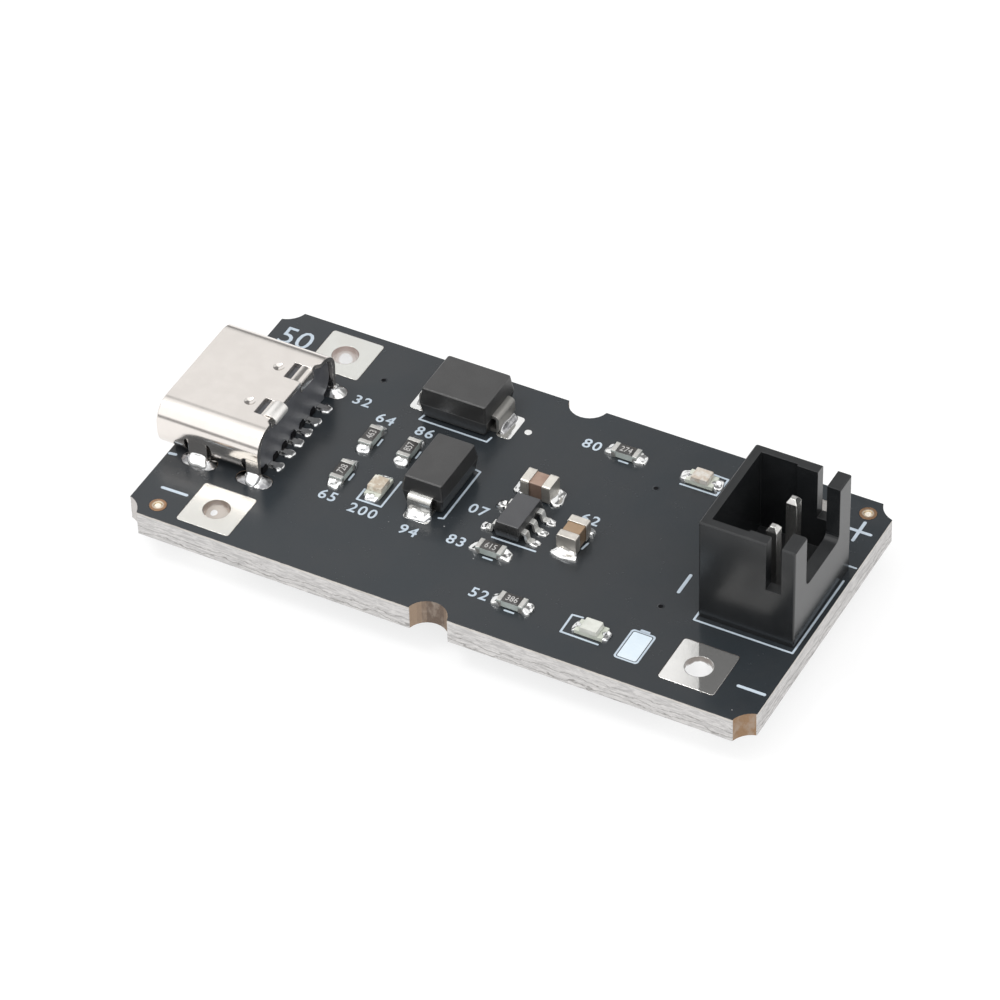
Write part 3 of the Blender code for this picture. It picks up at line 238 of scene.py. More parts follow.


# Each finish. Colours are linear and rough is the roughness; side is how much of its colour an upright face
# keeps, as painted shade on the sides; sideRough that face's roughness, and seam the height of a parting
# line.
ceramic = {"rough": 0.42, "spread": 0.12, "grain": 8.0, "depth": 0.3, "shade": 0.12, "wear": 0.4,
           "edge": 0.06, "side": 0.5}
endMetal = {"metal": 0.7, "rough": 0.36, "spread": 0.16, "depth": 0.5, "wear": 0.6}
ink = {"rough": 0.50, "grain": 7.0, "depth": 0.3, "wear": 0.2, "edge": 0.01}
lens = {"rough": 0.30, "spread": 0.12, "depth": 0.3, "shade": 0.10, "coat": 0.3, "coatRough": 0.12,
        "worn": (0.8, 0.78, 0.72), "wear": 0.4, "edge": 0.05}
finishes = {
    "shell": {"colour": (0.83, 0.785, 0.745), "second": (0.80, 0.755, 0.715), "metal": 1.0, "rough": 0.16,
              "spread": 0.05, "grain": 9.0, "depth": 0.05, "shade": 0.03, "worn": (0.95, 0.92, 0.88),
              "wear": 0.5, "edge": 0.05},
    "solder": {"colour": (0.93, 0.93, 0.92), "second": (0.80, 0.81, 0.82), "metal": 1.0, "rough": 0.13,
               "grain": 3.0, "depth": 0.12, "edge": 0.02, "wear": 0.0},
    "lead": {"colour": (0.72, 0.71, 0.68), "second": (0.62, 0.61, 0.58), "metal": 0.95, "rough": 0.24,
             "spread": 0.14, "grain": 7.0, "stretch": (1, 0.4, 1), "worn": (0.95, 0.95, 0.94), "wear": 0.5},
    # the curled tab's nickel: lighter than the shell's, as painted light for its brightly lit face
    "tab": {"colour": (0.92, 0.90, 0.87), "second": (0.84, 0.82, 0.79), "metal": 0.78, "rough": 0.36,
            "spread": 0.06, "grain": 8.0, "depth": 0.08, "shade": 0.03, "worn": (0.98, 0.96, 0.93),
            "wear": 0.7, "edge": 0.05},
    "inputLead": {"colour": (0.35, 0.34, 0.32), "second": (0.28, 0.275, 0.26), "metal": 0.80, "rough": 0.44,
                  "spread": 0.14, "grain": 7.0, "stretch": (1, 0.4, 1), "worn": (0.9, 0.9, 0.89), "wear": 0.6,
                  "edge": 0.04},
    # solder at the socket's legs and the input diode's feet: its dark colour is a painted reflection of the
    # dark board round it, and its wide white worn edges a painted highlight rim
    "darkReflectionSolder": {"colour": (0.30, 0.30, 0.31), "second": (0.62, 0.62, 0.62), "metal": 1.0, "rough": 0.16,
                  "grain": 3.0, "shade": 0.10, "worn": (0.96, 0.96, 0.95), "wear": 1.0, "edge": 0.12,
                  "cloud": 1.6},
    "chipLead": {"colour": (0.88, 0.88, 0.85), "second": (0.78, 0.78, 0.75), "metal": 0.85, "rough": 0.30,
                 "worn": (0.95, 0.95, 0.93), "wear": 0.5},
    "contact": {"colour": (0.80, 0.80, 0.78), "second": (0.68, 0.68, 0.68), "metal": 1.0, "rough": 0.18,
                "spread": 0.12, "grain": 7.0, "worn": (0.95, 0.95, 0.95), "wear": 0.5},
    "pin": {"colour": (0.84, 0.83, 0.80), "second": (0.72, 0.71, 0.69), "metal": 0.96, "rough": 0.24,
            "depth": 0.12, "stretch": (1, 1, 0.3), "worn": (0.95, 0.95, 0.93), "wear": 0.6, "edge": 0.05},
    "header": {"colour": (0.010, 0.011, 0.012), "second": (0.014, 0.015, 0.016), "rough": 0.52, "side": 1.0,
               "sideRough": 0.25, "spread": 0.05, "grain": 7.0, "depth": 0.10, "shade": 0.15,
               "worn": (0.08, 0.08, 0.08), "wear": 0.35, "edge": 0.05},
    "moulding": {"colour": (0.072, 0.075, 0.084), "second": (0.092, 0.096, 0.106), "rough": 0.38,
                 "depth": 0.25, "shade": 0.15, "worn": (0.16, 0.17, 0.19), "edge": 0.04},
    "compound": {"colour": (0.026, 0.0255, 0.0255), "second": (0.032, 0.0315, 0.0315), "rough": 0.42,
                 "spread": 0.05, "grain": 9.0, "depth": 0.30, "shade": 0.15, "worn": (0.09, 0.09, 0.09),
                 "wear": 0.5, "edge": 0.035, "specular": 1.0, "side": 0.2, "sideRough": 0.36, "seam": 2.70},
    "chip": {"colour": (0.043, 0.044, 0.048), "second": (0.050, 0.051, 0.055), "rough": 0.40, "spread": 0.12,
             "grain": 8.0, "depth": 0.35, "shade": 0.18, "worn": (0.09, 0.09, 0.09), "wear": 0.4,
             "edge": 0.05, "specular": 1.0, "side": 0.15, "sideRough": 0.30},
    "inputCeramic": {**ceramic, "colour": (0.28, 0.185, 0.145), "second": (0.36, 0.25, 0.195),
                     "worn": (0.6, 0.45, 0.35)},
    "batteryCeramic": {**ceramic, "colour": (0.29, 0.195, 0.115), "second": (0.35, 0.24, 0.155),
                       "worn": (0.65, 0.5, 0.38)},
    "chipEnd": {**endMetal, "colour": (0.88, 0.84, 0.77), "second": (0.76, 0.72, 0.66), "shade": 0.14,
                "worn": (0.95, 0.93, 0.88), "edge": 0.08, "side": 0.5},
    "resistorEnd": {**endMetal, "colour": (0.72, 0.71, 0.68), "second": (0.56, 0.55, 0.53), "grain": 7.0,
                    "shade": 0.20, "worn": (0.95, 0.95, 0.93), "edge": 0.05, "side": 0.6},
    "tinned": {"colour": (0.92, 0.92, 0.91), "second": (0.84, 0.84, 0.83), "metal": 1.0, "rough": 0.09,
               "spread": 0.05, "grain": 3.0, "depth": 0.05, "wear": 0.0, "edge": 0.02},
    "substrate": {"colour": (0.42, 0.46, 0.44), "second": (0.34, 0.38, 0.36), "rough": 0.5, "spread": 0.12,
                  "grain": 8.0, "depth": 0.35, "shade": 0.12, "worn": (0.6, 0.6, 0.6), "wear": 0.4},
    "resistorCoat": {"colour": (0.045, 0.043, 0.042), "second": (0.068, 0.064, 0.061), "rough": 0.36,
                     "spread": 0.12, "grain": 8.0, "depth": 0.3, "shade": 0.15, "worn": (0.14, 0.14, 0.14),
                     "wear": 0.4},
    "code": {"colour": (0.50, 0.49, 0.48), "second": (0.42, 0.41, 0.40), "rough": 0.5, "grain": 8.0,
             "depth": 0.3, "wear": 0.0, "edge": 0.01},
    "lampBase": {"colour": (0.62, 0.64, 0.57), "second": (0.50, 0.53, 0.46), "rough": 0.45, "spread": 0.12,
                 "grain": 7.0, "depth": 0.3, "shade": 0.10, "worn": (0.85, 0.84, 0.80), "wear": 0.4},
    "print": {**ink, "colour": (0.50, 0.57, 0.64), "second": (0.44, 0.51, 0.58), "worn": (0.5, 0.55, 0.6)},
    "charge": {**ink, "colour": (0.66, 0.74, 0.80), "second": (0.62, 0.71, 0.78), "shade": 0.05,
               "worn": (0.6, 0.66, 0.7)},
    "fill": {"colour": (0.84, 0.76, 0.64), "second": (0.92, 0.86, 0.76), "metal": 0.3, "rough": 0.35,
             "depth": 0.3, "shade": 0.10, "wear": 0.0, "edge": 0.01},
    # near black: painted shade, for the vias' holes and the shadow under the socket's moulding
    "hole": {"colour": (0.004, 0.004, 0.005), "second": (0.008, 0.008, 0.009), "rough": 0.8, "grain": 8.0,
             "depth": 0.3, "shade": 0.2, "specular": 0.1, "wear": 0.0, "edge": 0.01},
    "powerLens": {**lens, "colour": (0.46, 0.38, 0.29), "second": (0.68, 0.66, 0.58), "cloud": 3.0},
    "chargingLens": {**lens, "colour": (0.58, 0.59, 0.54), "second": (0.66, 0.67, 0.62), "cloud": 2.0},
    "chargedLens": {**lens, "colour": (0.52, 0.44, 0.36), "second": (0.66, 0.64, 0.60), "cloud": 2.5},
}
finish = {name: finishOf(name, look) for name, look in finishes.items()}

boardLook = {
    "lacquer": (0.0210, 0.0265, 0.0315), "cloudy": (0.0260, 0.0295, 0.0330), "rough": 0.24,
    "dust": (0.5, 0.5, 0.5),
    "dusty": 0.55, "speck": 0.026,  # how far a speck hides the lacquer, and its size
    "fibre": (0.60, 0.585, 0.575), "streak": (0.43, 0.42, 0.415), "seams": (0.27, 0.26, 0.25),
    "rim": (0.60, 0.55, 0.47), "sideRough": 0.75,
    "cut": (0.132, 0.094, 0.070), "cutWarm": (0.255, 0.155, 0.083), "cutPale": (0.38, 0.325, 0.275),
    # the notches' paler colour on faces along x is painted light
    "cutLitTan": (0.33, 0.24, 0.17),
    "skin": 0.04,                   # how deep the look of the sawn sides goes
    "seamsFade": (0.80, 1.05),      # heights between which the dark seams of the fibre end
    "rimFrom": (1.40, 1.50),        # heights at which the browner rim starts
    "lacquerFrom": (1.555, 1.575),  # and the lacquer's edge
    "warmFrom": (5.0, 18.0),        # where along x the notches turn warm
    "paleUpTo": -18.0,              # and up to where they are as pale as the sawn sides
}


def makeBoard():
    # lacquer above and below, layered glass fibre on the sawn sides, browner fibre in the milled notches
    look = boardLook
    material, tree = newMaterial("board")
    where = place(tree)
    split, normal = axes(tree, where), facing(tree)
    flat = calc(tree, "GREATER_THAN", calc(tree, "ABSOLUTE", normal[2]), 0.5)
    skins = [calc(tree, "GREATER_THAN", calc(tree, "ABSOLUTE", split[i]), half - look["skin"])
             for i, half in enumerate((halfLong, halfWide))]
    sawn = calc(tree, "MAXIMUM", *skins)

    # the lacquer: two close tones and a few specks of dust
    cloud = spread(tree, noise(tree, where, 0.22, 4.0, 0.6), 0.3, 0.7)
    lacquer = blend(tree, cloud, look["lacquer"], look["cloudy"])
    dust = add(tree, "TexVoronoi", {"Vector": where, "Scale": 0.55, "Randomness": 1.0})
    speck = times(tree, calc(tree, "LESS_THAN", dust.outputs["Distance"], look["speck"]),
                  calc(tree, "GREATER_THAN", noise(tree, where, 0.7, 1.0), 0.5), look["dusty"])
    lacquer = blend(tree, speck, lacquer, look["dust"])

    # the sawn sides: drawn-out noise for the layers, dark seams where a bent sine is near zero, a browner rim
    layers = noise(tree, place(tree, (0.55, 0.55, 4.0)), 1.9, 5.0, 0.62, 1.2)
    strands = noise(tree, place(tree, (4.0, 4.0, 3.0)), 1.6, 4.0, 0.7)
    fibre = blend(tree, spread(tree, layers, 0.38, 0.60), look["streak"], look["fibre"])
    fibre = blend(tree, times(tree, spread(tree, strands, 0.45, 0.75), 0.35), fibre, look["streak"])
    bend = noise(tree, place(tree, (0.5, 0.5, 1.0)), 1.1, 3.0, 0.6)
    phase = calc(tree, "MULTIPLY_ADD", bend, 9.0, times(tree, split[2], 8.0))
    lines = spread(tree, calc(tree, "ABSOLUTE", calc(tree, "SINE", phase)), 0.05, 0.45, 1.0, 0.0)
    lines = times(tree, lines, spread(tree, split[2], *look["seamsFade"], 1.0, 0.0),
                  spread(tree, strands, 0.30, 0.55, 0.3, 1.0))
    fibre = blend(tree, lines, fibre, look["seams"])
    wave = times(tree, calc(tree, "SUBTRACT", noise(tree, where, 2.2, 3.0), 0.5), 0.16)
    rim = spread(tree, calc(tree, "ADD", split[2], wave), *look["rimFrom"])
    fibre = blend(tree, times(tree, rim, 0.45), fibre, look["rim"])
    height = calc(tree, "MULTIPLY_ADD", wave, 0.35, split[2])
    fibre = blend(tree, spread(tree, height, *look["lacquerFrom"]), fibre, look["lacquer"])

    # the milled notches: darker and redder, warm towards the header, and as painted light paler where they
    # face along x
    milled = noise(tree, place(tree, (1.4, 1.4, 0.8)), 1.2, 4.0, 0.6)
    warm = spread(tree, split[0], *look["warmFrom"])
    cut = blend(tree, warm, look["cut"], look["cutWarm"])
    cut = blend(tree, times(tree, spread(tree, milled, 0.47, 0.66), 0.45), cut, look["cutPale"])
    litTan = times(tree, spread(tree, calc(tree, "ABSOLUTE", normal[0]), 0.3, 0.9),
                calc(tree, "SUBTRACT", 0.9, warm))
    cut = blend(tree, litTan, cut, look["cutLitTan"])
    pale = times(tree, calc(tree, "LESS_THAN", split[0], look["paleUpTo"]), 0.8)
    cut = blend(tree, pale, cut, look["fibre"])
    colour = blend(tree, flat, blend(tree, sawn, cut, fibre), lacquer)

    grain = grained(tree, where, 0.03, 5.0, 0.10, 0.12, 0.10)[1]
    rough = calc(tree, "ADD", between(tree, flat, look["sideRough"], look["rough"]), grain["Roughness"])
    ridges = add(tree, "Bump", {"Strength": times(tree, calc(tree, "SUBTRACT", 1.0, flat), 0.6),
                                "Distance": 0.05 * mm, "Height": layers, "Normal": grain["Normal"]})
    close(tree, {"Base Color": shadedBy(tree, colour, grain["Shade"]), "Roughness": rough,
                 "Normal": ridges.outputs[0], "Specular IOR Level": 0.5})
    return material


# Each wire pad: its land's colours, and its hole's wall, which has a browner band at its top; glint is the
# middle of a painted highlight, a white patch on the wall, and shine how far about it it reaches
padLook = {
    "input_pad_negative": {
        "rough": 0.26, "land": (0.90, 0.89, 0.845), "second": (0.87, 0.855, 0.81), "band": (0.40, 0.35, 0.32),
        "wall": (0.66, 0.60, 0.55), "glint": (-15.20, -6.81, 0.66), "shine": 0.26},
    "input_pad_positive": {
        "rough": 0.26, "land": (0.88, 0.88, 0.84), "second": (0.85, 0.845, 0.80), "band": (0.58, 0.50, 0.47),
        "wall": (0.74, 0.68, 0.65), "glint": (-15.03, 8.12, 0.66), "shine": 0.50},
    "battery_pad_negative": {
        "rough": 0.05, "metal": 0.93, "land": (0.895, 0.885, 0.865), "second": (0.875, 0.865, 0.845),
        "band": (0.30, 0.27, 0.25), "wall": (1.0, 1.0, 1.0)},
    "battery_pad_positive": {
        "rough": 0.2, "land": (0.84, 0.82, 0.79), "second": (0.80, 0.77, 0.745), "band": (0.30, 0.27, 0.25),
        "wall": (0.98, 0.97, 0.95)},
}
padHole = {"radius": 0.86, "band": (1.12, 1.30)}   # a little over the hole's radius; where the band starts


def makePad(name, look):
    # a tinned land round a plated hole, whose wall is brown at its top and bright below like a mirror, with a
    # painted highlight on some
    material, tree = newMaterial(name)
    where = place(tree)
    split = axes(tree, where)
    upright = calc(tree, "LESS_THAN", calc(tree, "ABSOLUTE", facing(tree)[2]), 0.5)
    near = calc(tree, "LESS_THAN", distance(tree, split, middleOf(name)), padHole["radius"])
    cloud = spread(tree, noise(tree, where, 0.7, 4.0, 0.6), 0.35, 0.65)
    land = blend(tree, cloud, look["land"], look["second"])
    wave = times(tree, calc(tree, "SUBTRACT", noise(tree, where, 2.0, 2.0), 0.5), 0.5)
    band = spread(tree, calc(tree, "ADD", split[2], wave), *padHole["band"])
    wall = blend(tree, band, look["wall"], look["band"])
    # a painted highlight: about the glint the wall's colour turns white
    if "glint" in look:
        away = add(tree, "VectorMath", {0: where, 1: look["glint"]}, operation="DISTANCE").outputs["Value"]
        wall = blend(tree, spread(tree, away, look["shine"] * 0.7, look["shine"], 1.0, 0.0), wall, (1, 1, 1))
    colour = blend(tree, times(tree, upright, near), land, wall)
    grain = grained(tree, where, 0.04, 2.0, 0.02, 0.03, 0.03)[1]
    close(tree, {"Base Color": shadedBy(tree, colour, grain["Shade"]), "Metallic": look.get("metal", 1.0),
                 "Roughness": calc(tree, "ADD", look["rough"], grain["Roughness"]),
                 "Normal": grain["Normal"]})
    return material


ringLook = {"copper": (0.42, 0.25, 0.15), "centre": (0.85, 0.76, 0.62), "bright": (0.26, 0.38), "rough": 0.3}


def makeRing(name):
    # a copper ring that turns to a bright tinned middle within an uneven circle
    look = ringLook
    material, tree = newMaterial(name)
    where = place(tree)
    wobble = times(tree, calc(tree, "SUBTRACT", noise(tree, where, 3.0), 0.5), 0.12)
    radius = calc(tree, "ADD", distance(tree, axes(tree, where), middleOf(name)), wobble)
    colour = blend(tree, spread(tree, radius, *look["bright"], 1.0, 0.0), look["copper"], look["centre"])
    grain = grained(tree, where, 0.03, 5.0, 0.2, 0.12, 0.12)[1]
    close(tree, {"Base Color": shadedBy(tree, colour, grain["Shade"]), "Metallic": 1.0,
                 "Roughness": calc(tree, "ADD", look["rough"], grain["Roughness"]),
                 "Normal": grain["Normal"]})
    return material


print("finishes made:", len(finish))


# Shape helpers

figureShare = 0.72   # how tall a figure is in a font of size 1
foldAngle = 32       # degrees: a skin's folds sharper than this stay crisp


def newObject(name, data):
    # an object in the scene for a mesh, a lamp or a camera
    made = bpy.data.objects.new(name, data)
    bpy.context.scene.collection.objects.link(made)
    return made


def boxOf(name):
    # a CAD node's low and high corner
    return np.array(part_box(name)) / mm


def middleOf(name):
    # the middle of a CAD node, seen from above
    return boxOf(name).mean(0)[:2].round(3)


def pointsOf(mesh):
    # a mesh's points, one to a row
    points = np.empty(len(mesh.vertices) * 3)
    mesh.vertices.foreach_get("co", points)
    return points.reshape(-1, 3)


def turned(flat, degrees):
    # flat points turned about zero: (x cos - y sin, x sin + y cos)
    c, s = math.cos(math.radians(degrees)), math.sin(math.radians(degrees))
    return flat @ np.array([[c, s], [-s, c]])


def gridFaces(rows, columns):
    # the four-sided faces between a grid's points, its last column joined to its first
    r, c = np.meshgrid(np.arange(rows - 1), np.arange(columns), indexing="ij")
    a, b = r * columns + c, r * columns + (c + 1) % columns
    return np.stack([a, b, b + columns, a + columns], -1).reshape(-1, 4)


def settle(made, material, smooth, replaced=()):
    # finish, shading and place in the frame for a new piece
    made.data.materials.clear()
    made.data.materials.append(material)
    if smooth is not None:
        made.data.shade_smooth()
        made.data.set_sharp_from_angle(angle=math.radians(smooth))
    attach(made, "root")
    if replaced:
        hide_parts(*replaced)


def piece(name, parts, material, smooth=None):
    # one object from a list of closed parts, each its points and its blocks of faces, riding on the board
    points, faces, start = [], [], 0
    for partPoints, blocks in parts:
        points.append(partPoints)
        faces += [face for block in blocks for face in (block + start).tolist()]
        start += len(partPoints)
    mesh = bpy.data.meshes.new(name)
    mesh.from_pydata((np.concatenate(points) * mm).tolist(), [], faces)
    mesh.update()
    settle(newObject(name, mesh), material, smooth)


def tube(rings):
    # a closed skin over rings of points, the first and last filled
    rows, columns = rings.shape[:2]
    way = np.arange(columns)
    return rings.reshape(-1, 3), [gridFaces(rows, columns), np.stack([way[::-1], way + (rows - 1) * columns])]


def atHeight(flat, z):
    # flat points lifted to one height
    return np.column_stack([flat, np.full(len(flat), z)])


def slab(outline, low, high, ease=0.0):
    # a flat plate of any outline from low to high, the upper two fifths leaning in by ease
    outline = np.asarray(outline, float)
    centre = outline.mean(0)
    far = np.maximum(np.linalg.norm(outline - centre, axis=1), 1e-6)[:, None]
    inner = centre + (outline - centre) * (1 - ease / far)
    shoulder = high - (high - low) * 0.4 * (ease > 0)
    return tube(np.stack([atHeight(outline, low), atHeight(outline, shoulder), atHeight(inner, high)]))


def hoop(outer, inner, low, high):
    # a flat ring between two outlines with as many points, from low to high
    count = len(outer)
    rings = [atHeight(outer, low), atHeight(outer, high), atHeight(inner, high), atHeight(inner, low)]
    way = np.arange(count)
    after = (way + 1) % count
    under = np.column_stack([way + 3 * count, after + 3 * count, after, way])
    return np.concatenate(rings), [gridFaces(4, count), under]


def roundedRect(centre, half, corner, wobble=0.0, steps=5):
    # the outline of a rectangle with a quarter circle at each corner; wobble scales it by the sum of two
    # sines that run along it, so that its sides are a little uneven
    angle = np.radians(np.concatenate([np.linspace(q, q + 90, steps) for q in (0, 90, 180, 270)]))
    sign = np.repeat([[1, 1], [-1, 1], [-1, -1], [1, -1]], steps, 0)
    points = sign * (np.array(half) - corner) + corner * np.column_stack([np.cos(angle), np.sin(angle)])
    if wobble:
        share = np.linspace(0, 1, 6, endpoint=False)[:, None, None]
        points = (points + share * (np.roll(points, -1, 0) - points)).transpose(1, 0, 2).reshape(-1, 2)
        way = np.arange(len(points))
        sines = np.sin(way * 0.9 + centre[0]) + np.sin(way * 2.3 + centre[1])
        points = points * (1 + wobble * sines)[:, None]
    return points + centre


def strokeOutline(start, end, width):
    # the outline of a line with a half circle round each end
    start, end = np.array(start, float), np.array(end, float)
    turn = math.atan2(*(end - start)[::-1])
    angle = np.radians(np.concatenate([np.linspace(-90, 90, 7), np.linspace(90, 270, 7)])) + turn
    return np.repeat([end, start], 7, 0) + width / 2 * np.column_stack([np.cos(angle), np.sin(angle)])


def figures(text, centre, height, rise, bold, turn=0.0, low=boardTop, wide=1.0, apart=1.0):
    # plain figures as a thin raised plate: the curve is made a mesh first, then scaled and laid in place
    curve = bpy.data.curves.new("figures", "FONT")
    curve.body, curve.align_x, curve.align_y = text, "CENTER", "CENTER"
    curve.offset, curve.extrude, curve.resolution_u, curve.space_character = bold, 0.5, 3, apart
    holder = bpy.data.objects.new("figures", curve)
    mesh = bpy.data.meshes.new_from_object(holder)
    points = pointsOf(mesh)
    blocks = [np.array([polygon.vertices[:]]) for polygon in mesh.polygons]
    bpy.data.objects.remove(holder)
    bpy.data.curves.remove(curve)
    bpy.data.meshes.remove(mesh)
    flat = points[:, :2] - (points[:, :2].max(0) + points[:, :2].min(0)) / 2
    flat = turned(flat * height / figureShare * (wide, 1), turn) + centre
    return np.column_stack([flat, low + rise * (points[:, 2] > 0)]), blocks


def smoothCopy(name, material):
    # a merged, smoothly shaded copy of a CAD node with curved faces, which stands for it
    mesh = nodes[name].data.copy()
    work = bmesh.new()
    work.from_mesh(mesh)
    bmesh.ops.remove_doubles(work, verts=work.verts, dist=1e-6)
    work.to_mesh(mesh)
    work.free()
    if "custom_normal" in mesh.attributes:
        mesh.attributes.remove(mesh.attributes["custom_normal"])
    settle(newObject(name + "_skin", mesh), material, foldAngle, (name,))


# The CAD nodes' finishes

boardMaterial = makeBoard()
ringNames = ("ringed_hole_near", "ringed_hole_far")
wears = {
    "usb_shell": "shell", "usb_moulding": "moulding", "usb_contact": "contact",
    "usb_solder_front": "darkReflectionSolder", "usb_solder_rear": "solder", "usb_solder_rear_near": "darkReflectionSolder",
    "battery_header_housing": "header", "battery_header_pin": "pin", "header_solder": "solder",
    "input_diode_body": "compound", "input_diode_lead": "inputLead",
    "output_diode_body": "compound", "output_diode_lead": "lead",
    "charger_chip_body": "chip", "charger_chip_lead": "chipLead",
    "input_capacitor_core": "inputCeramic", "input_capacitor_end": "chipEnd",
    "battery_capacitor_core": "batteryCeramic", "battery_capacitor_end": "chipEnd", "resistor": "substrate",
    "power_lamp_base": "lampBase", "charging_lamp_base": "lampBase", "charged_lamp_base": "lampBase",
    "power_lamp_lens": "powerLens", "charging_lamp_lens": "chargingLens", "charged_lamp_lens": "chargedLens",
}
materials = {start: finish[name] for start, name in wears.items()}
materials["circuit_board"] = boardMaterial
materials.update({name: makePad(name, look) for name, look in padLook.items()})
materials.update({name: makeRing(name) for name in ringNames})
for name, node in nodes.items():
    # the longest key that the node's name starts with
    start = max((key for key in materials if name.startswith(key)), key=len)
    node.data.materials.clear()
    node.data.materials.append(materials[start])

curved = {"usb_shell": "nickel_shell", "usb_solder": "solder", "header_solder": "solder",
          "input_diode_lead": "tinned_lead", "output_diode_lead": "tinned_lead",
          "charger_chip_lead": "tinned_lead", "usb_contact": "gilt_contact", "input_pad": "tinned_land",
          "battery_pad": "tinned_land", "ringed_hole": "copper_ring"}
for name, node in nodes.items():
    for start, slotName in curved.items():
        if name.startswith(start):
            smoothCopy(name, node.data.materials[0])
print("CAD nodes finished")


# The white print: line work, a battery sign, plus and minus signs, and plain numbers

printed = {
    "rise": 0.012, "line": 0.12, "bold": 0.20, "number": 0.76, "weight": 0.014, "apart": 1.18,
    "step": 0.0006,   # strokes that meet or cross end at heights this far apart
    "lines": [
        [(13.22, 4.12), (13.22, -3.54), (19.16, -3.54), (19.20, 2.89)], [(13.22, 4.12), (19.38, 4.12)],
        [(-8.00, 4.81), (-8.10, 4.37), (-3.75, 4.35), (-3.68, 4.78)],
        [(-3.20, 1.98), (-2.87, 1.93), (-2.87, -2.42), (-3.15, -2.50)],
        [(0.26, -2.56), (2.95, -2.54)], [(5.16, -1.19), (5.26, -0.65)],
        [(-7.99, -2.23), (-8.00, -3.15), (-6.46, -3.13), (-6.45, -0.80)],
        [(7.63, 6.05), (9.88, 6.06), (9.90, 7.54), (8.84, 7.58)],
        [(7.75, -6.10), (7.12, -6.15), (7.15, -7.62), (9.43, -7.64)],
    ],
    "signs": [
        [(11.50, -1.95), (11.50, -0.45)], [(18.25, 7.72), (18.25, 6.12)], [(17.60, 6.93), (18.95, 6.93)],
        [(17.65, -7.11), (19.20, -7.11)], [(-18.25, -7.17), (-16.70, -7.14)],
        [(-19.36, -4.49), (-19.00, -4.44)],
    ],
    "dash": {"half": 0.27, "aside": 0.54, "along": 0.06},   # beside each small resistor
    "numbers": {"32": (-11.73, 4.29), "64": (-9.79, 3.50), "86": (-7.27, 3.51), "65": (-9.60, -3.60),
                "200": (-7.22, -3.86), "94": (-4.15, -4.17), "07": (-1.45, -0.92), "83": (-1.40, -3.69),
                "52": (1.79, -6.95), "80": (1.72, 6.79), "62": (4.50, 1.15)},
    "large": {"text": "50", "centre": (-17.85, 7.45), "height": 1.55, "weight": 0.0},
    "battery": {"centre": (11.30, -6.88), "half": (0.74, 1.22), "corner": 0.20, "line": 0.11, "gap": 0.055,
                "fillCorner": 0.10, "nub": (0.29, 0.09), "nubOut": 0.07, "nubCorner": 0.05},
}


def resistorFacts(number):
    # the middle, half sizes and long axis of a resistor, and its foot and top
    low, high = boxOf("resistor_%d" % number)
    half = (high - low)[:2] / 2
    return (low + high)[:2] / 2, half, int(half[1] > half[0]), low[2], high[2]


def drawPrint():
    # every stroke and figure is a thin raised plate on the lacquer
    look = printed
    low, high = boardTop, boardTop + look["rise"]
    paths = [(path, look["line"]) for path in look["lines"]]
    paths += [(path, look["bold"]) for path in look["signs"]]
    dash = look["dash"]
    for number in range(1, 7):
        centre, half, axis = resistorFacts(number)[:3]
        along, aside = np.eye(2)[axis], np.array([(0, -1), (1, 0)][axis])
        middle = centre + aside * dash["aside"] + along * dash["along"]
        paths.append(([middle - along * dash["half"], middle + along * dash["half"]], look["line"]))
    parts = []
    for path, width in paths:
        first = int(path[0][0] == path[-1][0])   # an upright stroke is one step up, so a plus sign's differ
        parts += [slab(strokeOutline(a, b, width), low, high + look["step"] * (i % 4))
                  for i, (a, b) in enumerate(zip(path, path[1:]), first)]
    for text, centre in look["numbers"].items():
        parts.append(figures(text, centre, look["number"], look["rise"], look["weight"], apart=look["apart"]))
    large = look["large"]
    parts.append(figures(large["text"], large["centre"], large["height"], look["rise"], large["weight"]))
    sign = look["battery"]
    half = np.array(sign["half"])
    outer = roundedRect(sign["centre"], half, sign["corner"])
    inner = roundedRect(sign["centre"], half - sign["line"], sign["corner"] - sign["line"] / 2)
    parts.append(hoop(outer, inner, low, high))
    nubAt = np.array(sign["centre"]) + (0, half[1] + sign["nubOut"])
    parts.append(slab(roundedRect(nubAt, sign["nub"], sign["nubCorner"]), low, high))
    piece("white_print", parts, finish["print"])
    fill = roundedRect(sign["centre"], half - sign["line"] - sign["gap"], sign["fillCorner"])
    piece("battery_sign_fill", [slab(fill, low, high)], finish["charge"])


drawPrint()


# Tinned lands with the middle and half sizes of each, the vias and the fills of the two ringed holes

lands = [((-3.13, 6.08), (0.47, 1.02)), ((-8.64, 6.08), (0.52, 1.02)), ((-4.25, -2.95), (0.80, 0.36)),
         ((-4.25, 2.50), (0.80, 0.30)), ((-2.02, 6.12), (0.22, 0.22))]
landLook = {"rise": 0.012, "corner": 0.22, "wobble": 0.004}
tailLand = {"back": 0.60, "half": (0.52, 0.30)}   # under each tail of the socket, its middle behind the tip
# painted shadow: dark plates under the socket's moulding, on the near side of each tail, standing for its
# shade
gap = {"aside": -0.66, "half": (0.10, 0.26), "corner": 0.05, "lift": 0.001, "top": 2.0, "ease": 0.06}
vias = {"radius": 0.14, "ring": 0.22, "rise": 0.010, "ringRise": 0.008, "ease": 0.06,
        "at": [(6.58, 5.11), (11.13, -3.40), (-11.55, 6.44)]}
ringFill = {"radius": 0.25, "low": 1.35, "high": 1.585, "ease": 0.08}


def tailTips():
    # each tail of the socket: how far out its tip is, and where it lies across, the mean of its last points
    tips = []
    for name, node in nodes.items():
        if name.startswith("usb_contact"):
            points = pointsOf(node.data) / mm
            out = boxOf(name)[1][0]
            tips.append((out, float(points[points[:, 0] > out - 0.01, 1].mean())))
    return tips


def disc(centre, radius):
    # a round outline: a square whose rounded corners take up all of it
    return roundedRect(centre, (radius, radius), radius * 0.999, steps=7)


